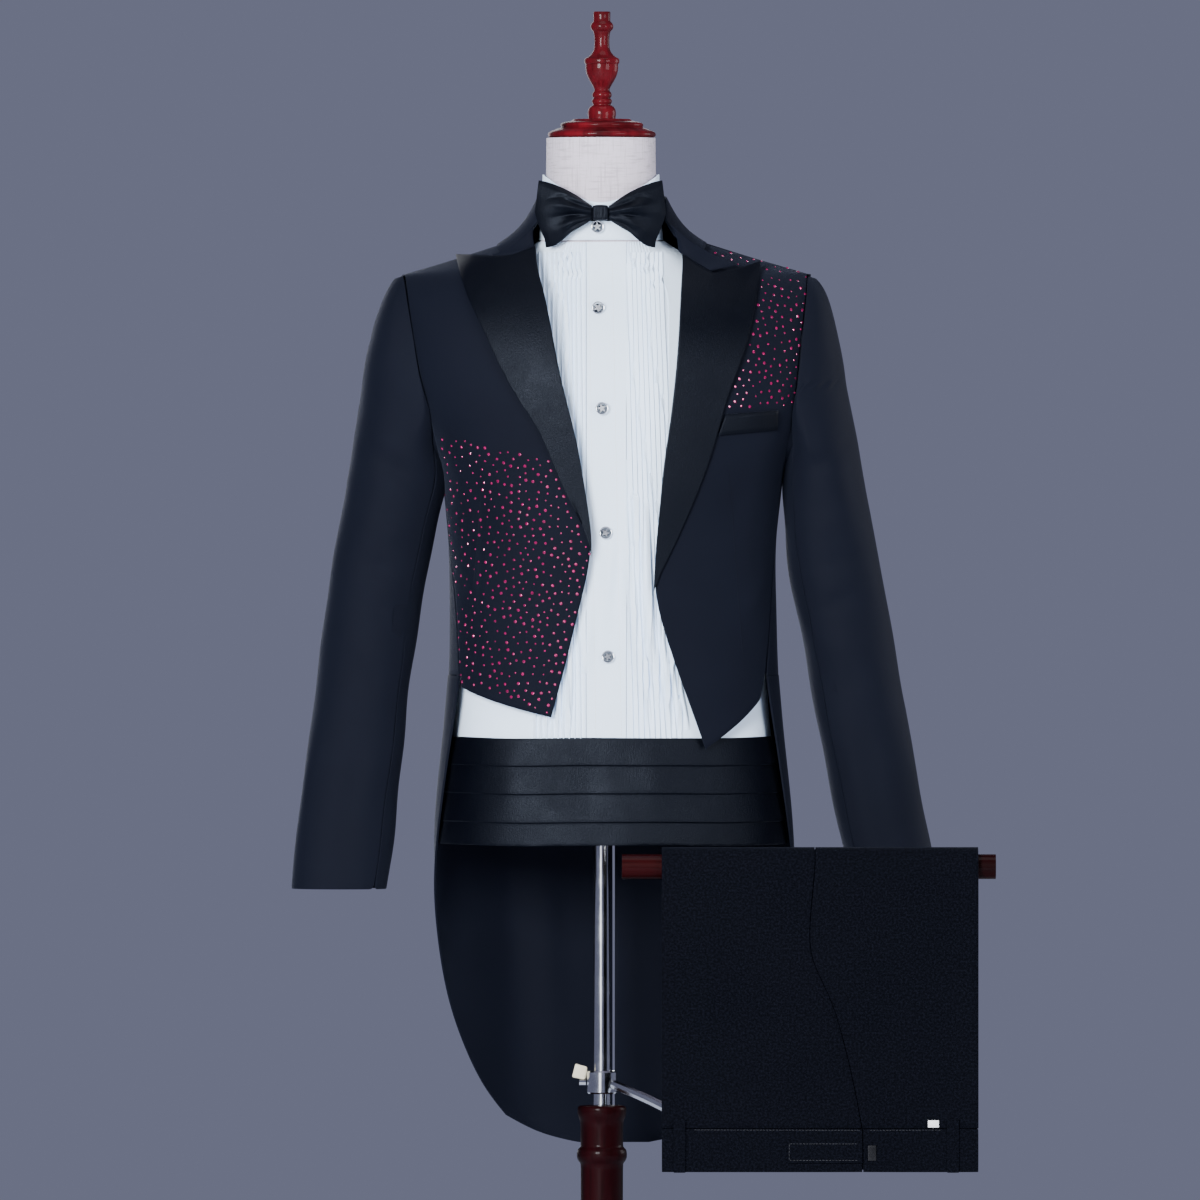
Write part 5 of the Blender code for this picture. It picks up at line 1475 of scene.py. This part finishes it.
# ------------------------------------------------------------------ form and stand
@dataclass
class StandAndForm:
    """The dress form and the turned stand that carries the outfit.

    Each profile gives the radius and the height of its rings in tenths of a millimetre.
    """

    dresser: Dresser
    studs: int = 5
    star_rays: int = 5
    star_waist: float = 0.42
    rim_thickness: float = 0.0007
    knob_size: Point3 = (0.0135, 0.0052, 0.0150)
    knob_place: Point3 = (-0.0232, 0, 0.5665)
    knob_tilt: float = -14
    finial_profile: Rings = (
        (40, 16800), (70, 16806), (74, 16832), (84, 16833), (90, 16824), (89, 16790), (88, 16740),
        (92, 16727), (103, 16717), (113, 16704), (119, 16688), (120, 16674), (117, 16658), (109, 16643),
        (98, 16631), (90, 16624), (88, 16612), (82, 16590), (79, 16550), (78, 16500), (80, 16460),
        (87, 16428), (102, 16398), (125, 16372), (152, 16352), (172, 16342), (181, 16336), (184, 16322),
        (184, 16298), (180, 16287), (171, 16280), (171, 16272), (172, 16240), (168, 16205),
        (159, 16170), (146, 16138), (128, 16104), (109, 16072), (94, 16046), (83, 16024), (80, 16006),
        (84, 15992), (94, 15984), (101, 15972), (103, 15956), (101, 15942), (94, 15931), (88, 15924),
        (88, 15918), (96, 15912), (104, 15902), (106, 15890), (104, 15877), (97, 15866), (92, 15858),
        (93, 15849), (108, 15842), (124, 15831), (137, 15814), (145, 15793), (148, 15770), (147, 15745),
        (143, 15724), (143, 15705),
    )
    cap_profile: Rings = (
        (150, 15703), (250, 15702), (300, 15700), (308, 15694), (318, 15684), (335, 15677),
        (370, 15671), (405, 15665), (422, 15659), (432, 15650), (436, 15638), (434, 15627),
        (429, 15620), (432, 15613), (450, 15605), (480, 15595), (512, 15583), (540, 15572),
        (556, 15563), (565, 15551), (568, 15538), (565, 15525), (558, 15515), (545, 15507),
        (520, 15506), (300, 15506),
    )
    column_profile: Rings = (
        (105, 5309), (200, 5310), (232, 5308), (246, 5300), (254, 5286), (257, 5262), (256, 5236),
        (252, 5208), (244, 5182), (234, 5158), (228, 5130), (225, 5080), (224, 4980), (224, 4900),
        (226, 4876), (238, 4862), (252, 4848), (260, 4828), (264, 4800), (263, 4770), (257, 4744),
        (246, 4724), (232, 4708), (225, 4690), (223, 4640), (222, 4400), (223, 3700), (225, 3000),
        (227, 2200), (230, 1680), (234, 1600), (252, 1530), (276, 1482), (300, 1446), (314, 1404),
        (319, 1358), (314, 1310), (298, 1268), (272, 1222), (254, 1176), (249, 1100), (252, 980),
        (264, 880), (290, 780), (332, 688), (392, 612), (460, 560), (512, 530), (534, 506), (540, 480),
        (540, 456),
    )
    base_profile: Rings = (
        (400, 451), (560, 450), (700, 440), (900, 415), (1100, 384), (1300, 354), (1480, 326),
        (1620, 300), (1710, 276), (1745, 256), (1760, 240), (1800, 226), (1842, 208), (1870, 184),
        (1886, 152), (1890, 112), (1888, 70), (1880, 30), (1872, 8), (1860, 0), (900, 0),
    )

    def build(self) -> None:
        """Build the form's and the stand's pieces."""
        ClothPiece("dress_form", "linen_form", Finishes.LINEN, Lie.TORSO, (0.9, 0.9), "stretched", (),
                   swell=0.0, sheet=False, round_rim=0.0).build(self.dresser)
        for node, finish, profile in (("cap", Finishes.WOOD, self.cap_profile),
                                      ("finial", Finishes.WOOD, self.finial_profile),
                                      ("column", Finishes.COLUMN_WOOD, self.column_profile),
                                      ("base", Finishes.COLUMN_WOOD, self.base_profile)):
            self.turn("neck_cap" if node == "cap" else node, f"turned_{node}", finish, profile)
        self.refine("trouser_bar", "wooden_bar", Finishes.BAR_WOOD, 2)
        for node, name, levels in (("pole", "pole", 2), ("trouser_arm", "arm", 2), ("clamp", "clamp", 1),
                                   ("wing_screw_shank", "shank", 1)):
            self.refine(node, f"steel_{name}", Finishes.CHROME, levels)
        self.wing_knob()
        self.refine("waist_hook", "hook_bar", Finishes.BLACK_METAL, 1)
        for index in range(1, self.studs + 1):
            glass = self.refine(f"stud_{index}", f"crystal_stud_{index}", Finishes.CRYSTAL, 0)
            self.stud_setting(index, glass)

    def stud_setting(self, index: int, glass: Piece) -> Piece:
        """The silver rim and star over one stud's dark glass.

        Args:
            index: the stud's number from the top.
            glass: the stud.

        Returns:
            The setting.
        """
        points = points_of(glass)
        middle = (points.min(axis=0) + points.max(axis=0)) / 2
        radius = (points[:, 0].max() - points[:, 0].min()) / 2
        front = points[:, 1].min()
        deselect()
        bpy.ops.mesh.primitive_torus_add(major_segments=28, minor_segments=8, major_radius=radius + 0.0005,
                                         minor_radius=self.rim_thickness, location=(0, 0, 0))
        rim = bpy.context.object
        deselect()
        bpy.ops.mesh.primitive_cone_add(vertices=2 * self.star_rays, radius1=radius - 0.0004, radius2=0.0003,
                                        depth=0.0009, location=(0, 0, 0.0004))
        star = bpy.context.object
        for vertex in star.data.vertices:
            turn = round(math.atan2(vertex.co.x, vertex.co.y) / (math.pi / self.star_rays))
            if turn % 2 and vertex.co.length > 0.002:
                vertex.co.x *= self.star_waist
                vertex.co.y *= self.star_waist
        rim.select_set(True)
        bpy.context.view_layer.objects.active = rim
        bpy.ops.object.join()
        obj = name_object(f"stud_setting_{index}")
        edit_all()
        bpy.ops.transform.rotate(value=math.radians(90), orient_axis="X", center_override=(0, 0, 0))
        bpy.ops.transform.rotate(value=0.7 * index, orient_axis="Y", center_override=(0, 0, 0))
        bpy.ops.transform.translate(value=(middle[0], front - 0.0002, middle[2]))
        bpy.ops.object.mode_set(mode="OBJECT")
        settle(obj)
        return self.dresser.finish(obj, Finishes.SILVER, 25)

    def wing_knob(self) -> Piece:
        """The cream wing of the clamp screw, broad at its end and waisted at the shank."""
        deselect()
        bpy.ops.mesh.primitive_cube_add(size=1, location=(0, 0, 0))
        obj = name_object("cream_wing_knob")
        edit_all()
        bpy.ops.transform.resize(value=self.knob_size, center_override=(0, 0, 0))
        select_faces(obj, lambda face: face.normal.x > 0.9)
        bpy.ops.transform.resize(value=(1, 1.25, 0.42))
        bpy.ops.transform.translate(value=(0.0015, 0, -0.0022))
        bpy.ops.mesh.select_all(action="SELECT")
        tilt = math.radians(self.knob_tilt)
        bpy.ops.transform.rotate(value=tilt, orient_axis="Y", center_override=(0, 0, 0))
        bpy.ops.transform.translate(value=self.knob_place)
        face_outwards(obj)
        add_modifier(obj, "BEVEL", width=0.0016, segments=3, limit_method="ANGLE",
                     angle_limit=math.radians(30))
        return self.dresser.finish(obj, Finishes.CREAM, 40, "wing_knob")

    def turn(self, node: str, name: str, finish: Finishes, profile: Rings, segments: int = 64) -> Piece:
        """Turn a piece as on a lathe, ring by ring.

        Args:
            node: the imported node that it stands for.
            name: the piece's name.
            finish: its finish.
            profile: radius and height of each ring.
            segments: points round each ring.

        Returns:
            The piece.
        """
        deselect()
        (radius, height), *rings = [(r / TENTHS, z / TENTHS) for r, z in profile]
        bpy.ops.mesh.primitive_circle_add(vertices=segments, radius=radius, fill_type="NGON",
                                          location=(0, 0, height))
        obj = name_object(name)
        bpy.ops.object.mode_set(mode="EDIT")
        bpy.ops.mesh.select_mode(type="EDGE")
        bpy.ops.mesh.select_all(action="SELECT")
        bpy.ops.mesh.region_to_loop()
        for next_radius, next_height in rings:
            move = {"value": (0, 0, next_height - height)}
            bpy.ops.mesh.extrude_edges_move(TRANSFORM_OT_translate=move)
            grow = next_radius / radius
            bpy.ops.transform.resize(value=(grow, grow, 1), center_override=(0, 0, next_height))
            radius, height = next_radius, next_height
        bpy.ops.mesh.edge_face_add()
        bpy.ops.mesh.select_all(action="SELECT")
        face_outwards(obj)
        return self.dresser.finish(obj, finish, 50, node)

    def refine(self, node: str, name: str, finish: Finishes, levels: int) -> Piece:
        """A smoother copy of a hard node.

        Args:
            node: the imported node.
            name: the piece's name.
            finish: its finish.
            levels: how often it is subdivided.

        Returns:
            The piece.
        """
        obj = copy_of_node(node, name)
        crease_rims(obj, 34)
        if levels:
            add_modifier(obj, "SUBSURF", levels=levels, render_levels=levels)
        return self.dresser.finish(obj, finish, 34 if levels else 12, node)


# ------------------------------------------------------------------ rhinestones
@dataclass
class Rhinestones:
    """Crimson stones set at random on the two fronts."""

    dresser: Dresser
    spacing: float = 0.0070
    sizes: tuple[float, ...] = (0.0022, 0.0026, 0.0031, 0.0037)
    sunk: float = 0.0002
    steepest: float = -0.12
    clear: float = 0.003
    right_count: int = 440
    left_count: int = 185
    right_edge: Line = (
        (-0.1700, 1.2340), (-0.1420, 1.2310), (-0.1280, 1.2255), (-0.1040, 1.2215), (-0.0880, 1.2170),
        (-0.0720, 1.2140), (-0.0560, 1.2110), (-0.0100, 1.1400), (-0.0105, 1.1200), (-0.0250, 1.0640),
        (-0.0390, 1.0040), (-0.0560, 0.9440), (-0.0960, 0.9600), (-0.1500, 0.9780), (-0.1850, 1.0000),
        (-0.1900, 1.1000), (-0.1900, 1.1900),
    )
    left_edge: Line = (
        (0.1150, 1.4330), (0.1380, 1.4330), (0.1700, 1.4240), (0.2150, 1.4090), (0.2130, 1.3700),
        (0.2080, 1.3200), (0.2010, 1.2700), (0.1840, 1.2655), (0.1500, 1.2620), (0.1260, 1.2660),
        (0.1200, 1.2760), (0.1440, 1.3300), (0.1560, 1.4000), (0.1420, 1.4020), (0.1120, 1.4020),
    )

    def build(self, coat: dict[str, Piece]) -> None:
        """Scatter and set the stones on both fronts, clear of what lies over them.

        Args:
            coat: the coat's pieces by name.
        """
        gem = self.cut_gem()
        for side, edge, count, seed in (("right", self.right_edge, self.right_count, 77),
                                        ("left", self.left_edge, self.left_count, 78)):
            over = tree_of(*(coat[name] for name in (f"satin_lapel_{side}", "wool_collar", "satin_welt")))
            self.scatter(f"rhinestones_{side}", gem, edge, coat[f"wool_front_{side}"], over, count, seed)
        bpy.data.meshes.remove(gem)

    def cut_gem(self) -> bpy.types.Mesh:
        """One round flat-backed stone with a table and two rows of facets.

        Returns:
            Its mesh, one unit across, its back at z = 0.
        """
        deselect()
        bpy.ops.mesh.primitive_cone_add(vertices=8, radius1=0.5, radius2=0.42, depth=0.12,
                                        location=(0, 0, 0.06))
        obj = bpy.context.object
        bpy.ops.object.mode_set(mode="EDIT")
        select_faces(obj, lambda face: face.normal.z > 0.9)
        bpy.ops.mesh.extrude_region_move(TRANSFORM_OT_translate={"value": (0, 0, 0.20)})
        bpy.ops.transform.resize(value=(0.52, 0.52, 1))
        bpy.ops.transform.rotate(value=math.radians(22.5), orient_axis="Z", center_override=(0, 0, 0))
        bpy.ops.object.mode_set(mode="OBJECT")
        settle(obj)
        mesh = obj.data.copy()
        bpy.data.objects.remove(obj)
        return mesh

    def scatter(self, name: str, gem: bpy.types.Mesh, edge: Line, target: Piece,
                over: BVHTree, count: int, seed: int) -> Piece:
        """Set stones on the cloth inside an outline seen from the front.

        Args:
            name: the piece's name.
            gem: the stone.
            edge: outline in x, z.
            target: the cloth.
            over: what lies on the cloth, where no stone goes.
            count: how many stones at most.
            seed: which draw.

        Returns:
            The joined stones.
        """
        draw = random.Random(seed)
        tree = tree_of(target)
        low = [min(p[i] for p in edge) for i in (0, 1)]
        high = [max(p[i] for p in edge) for i in (0, 1)]
        places: list[tuple[float, float]] = []
        settings: list[Matrix] = []
        for _ in range(count * 60):
            if len(places) >= count:
                break
            x, z = draw.uniform(low[0], high[0]), draw.uniform(low[1], high[1])
            if not inside(edge, x, z):
                continue
            if any((x - a) ** 2 + (z - b) ** 2 < self.spacing ** 2 for a, b in places):
                continue
            found = front_hit(tree, x, z)
            if found is None or found[1].y > self.steepest or self.covered(over, x, z):
                continue
            hit, normal = found
            places.append((x, z))
            size = draw.choice(self.sizes)
            turn = normal.to_track_quat("Z", "Y").to_matrix().to_4x4()
            spin = Matrix.Rotation(draw.uniform(0, 1), 4, "Z")
            seat = Matrix.Translation(hit - normal * self.sunk)
            settings.append(seat @ turn @ spin @ Matrix.Scale(size, 4))
        return self.dresser.finish(set_copies(name, gem, settings), Finishes.RHINESTONE, None)

    def covered(self, over: BVHTree, x: float, z: float) -> bool:
        """Whether something lies over the cloth at or just beside a place."""
        steps = ((0, 0), (1, 0), (-1, 0), (0, 1), (0, -1))
        return any(front_hit(over, x + self.clear * i, z + self.clear * k) for i, k in steps)


def inside(edge: Line, x: float, z: float) -> bool:
    """Whether a place seen from the front is inside an outline.

    Args:
        edge: the outline's corners.
        x: the place's x.
        z: the place's z.
    """
    found = False
    for (ax, az), (bx, bz) in zip(edge, edge[1:] + edge[:1]):
        if (az > z) != (bz > z) and x < (bx - ax) * (z - az) / (bz - az) + ax:
            found = not found
    return found


# ------------------------------------------------------------------ stitches
@dataclass
class Stitching:
    """Runs of stitches on the trousers' waistband and the shirt's placket."""

    dresser: Dresser
    length: float = 0.0024
    gap: float = 0.0010
    thickness: float = 0.0005
    waistband: tuple[Line, ...] = (
        ((0.0960, 0.5117), (0.2700, 0.5112)),
        ((0.2790, 0.5112), (0.3560, 0.5115)),
        ((0.1955, 0.4972), (0.2690, 0.4972)),
        ((0.1955, 0.4800), (0.2690, 0.4800)),
        ((0.1955, 0.4972), (0.1955, 0.4800)),
    )
    placket: tuple[Line, ...] = (
        ((-0.0137, 1.4180), (-0.0063, 0.9190)),
        ((0.0110, 1.4180), (0.0205, 0.9190)),
    )

    def build(self) -> None:
        """Sew every run."""
        band = ("wool_waistband_left", "wool_waistband_right", "wool_waist_tab")
        self.sew("waistband_stitches", self.waistband, band, Finishes.THREAD)
        self.sew("placket_stitches", self.placket, ("shirt_placket_strip",), Finishes.WHITE_THREAD)

    def sew(self, name: str, runs: tuple[Line, ...], cloths: tuple[str, ...], finish: Finishes) -> Piece:
        """Lay one stitch after the other along lines seen from the front.

        Args:
            name: the piece's name.
            runs: the lines in x, z.
            cloths: names of the pieces that they are sewn through.
            finish: the thread.

        Returns:
            The stitches.
        """
        deselect()
        bpy.ops.mesh.primitive_cylinder_add(vertices=6, radius=0.5, depth=1,
                                            rotation=(0, math.radians(90), 0))
        model = bpy.context.object
        bpy.ops.object.transform_apply(rotation=True)
        tree = tree_of(*(bpy.data.objects[cloth] for cloth in cloths))
        places = []
        for start, end in runs:
            span = math.dist(start, end)
            for index in range(int(span / (self.length + self.gap))):
                part = (index + 0.5) * (self.length + self.gap) / span
                x, z = (start[i] + (end[i] - start[i]) * part for i in (0, 1))
                found = front_hit(tree, x, z)
                if found is None:
                    continue
                hit, normal = found
                along = Vector((end[0] - start[0], 0, end[1] - start[1]))
                along = (along - normal * along.dot(normal)).normalized()
                turn = Matrix((along, normal.cross(along), normal)).transposed().to_4x4()
                size = Matrix.Diagonal((self.length, self.thickness, self.thickness, 1.0))
                places.append(Matrix.Translation(hit + normal * self.thickness * 0.15) @ turn @ size)
        obj = set_copies(name, model.data, places)
        bpy.data.objects.remove(model)
        return self.dresser.finish(obj, finish, 60)


# ------------------------------------------------------------------ studio
@dataclass(frozen=True)
class Lamp:
    """One square soft light."""

    name: str
    place: Point3
    aim: Point3
    size: float
    power: float
    colour: Colour

    def build(self) -> None:
        """Hang it."""
        data = bpy.data.lights.new(self.name, "AREA")
        data.size = self.size
        data.energy = self.power
        data.color = self.colour
        lamp = bpy.data.objects.new(self.name, data)
        bpy.context.scene.collection.objects.link(lamp)
        lamp.location = self.place
        lamp.rotation_euler = (Vector(self.aim) - Vector(self.place)).to_track_quat("-Z", "Y").to_euler()


@dataclass
class Studio:
    """Floor, sky, lights and camera."""

    lamps: tuple[Lamp, ...] = (
        Lamp("key", (-1.4, -3.7, 1.9), (0.0, 0.0, 1.15), 1.3, 380, (0.945, 0.975, 1.0)),
        Lamp("fill", (2.4, -2.8, 1.5), (0.1, 0.0, 1.0), 1.4, 92, (0.93, 0.96, 1.0)),
        Lamp("low", (-0.9, -3.6, 0.5), (0.0, 0.0, 0.95), 1.0, 8, (0.94, 0.96, 1.0)),
        Lamp("top", (0.2, -0.6, 3.4), (0.0, 0.0, 1.2), 1.4, 22, (0.96, 0.97, 1.0)),
        Lamp("rear", (-0.9, 3.6, 1.7), (0.0, 0.0, 1.1), 2.4, 66, (0.96, 0.97, 1.0)),
        Lamp("side", (3.4, 1.6, 1.7), (0.0, 0.0, 1.1), 1.6, 60, (0.96, 0.97, 1.0)),
    )
    sky: Colour = (0.237, 0.252, 0.375)
    sky_strength: float = 0.62

    aim: Point3 = (-0.002, -0.06, 1.064)
    distance: float = 18.0
    frame_height: float = 1.26
    rise: float = 0.4

    def build(self) -> None:
        """Set the room up."""
        self.room()
        self.world()
        for lamp in self.lamps:
            lamp.build()
        self.camera()

    def room(self) -> None:
        """A plain pale floor."""
        deselect()
        bpy.ops.mesh.primitive_plane_add(size=12, location=(0, 0, 0))
        floor = bpy.context.object
        floor.name = "studio_floor"
        settle(floor)
        board = Board("studio_floor")
        tone = board.noise(board.object_place(), 1.6, 3.0, 0.5)
        board.shade(Base_Color=board.blend(tone, (0.46, 0.49, 0.58), (0.52, 0.55, 0.64)), Roughness=0.8)
        floor.data.materials.append(board.material)

    def world(self) -> None:
        """An even pale sky."""
        world = bpy.data.worlds.new("studio_world")
        bpy.context.scene.world = world
        world.use_nodes = True
        background = world.node_tree.nodes["Background"]
        background.inputs[0].default_value = (*self.sky, 1.0)
        background.inputs[1].default_value = self.sky_strength

    def camera(self) -> None:
        """The camera at the photograph's angle."""
        data = bpy.data.cameras.new("camera")
        data.sensor_width = 36
        data.lens = 36 * self.distance / self.frame_height
        data.clip_end = 50
        camera = bpy.data.objects.new("camera", data)
        bpy.context.scene.collection.objects.link(camera)
        rise = math.radians(self.rise)
        aim = Vector(self.aim)
        camera.location = aim + Vector((0, -math.cos(rise), math.sin(rise))) * self.distance
        camera.rotation_euler = (aim - camera.location).to_track_quat("-Z", "Y").to_euler()
        bpy.context.scene.camera = camera


# ------------------------------------------------------------------ all together
def main() -> None:
    """Build the whole outfit and its studio."""
    logging.basicConfig(level=logging.INFO, format="%(message)s")
    dresser = Dresser()
    StandAndForm(dresser).build()
    DressShirt(dresser).build()
    SatinTrim(dresser).build()
    coat = Tailcoat(dresser).build()
    Rhinestones(dresser).build(coat)
    Trousers(dresser).build()
    Stitching(dresser).build()
    Studio().build()


if __name__ == "__main__":
    main()
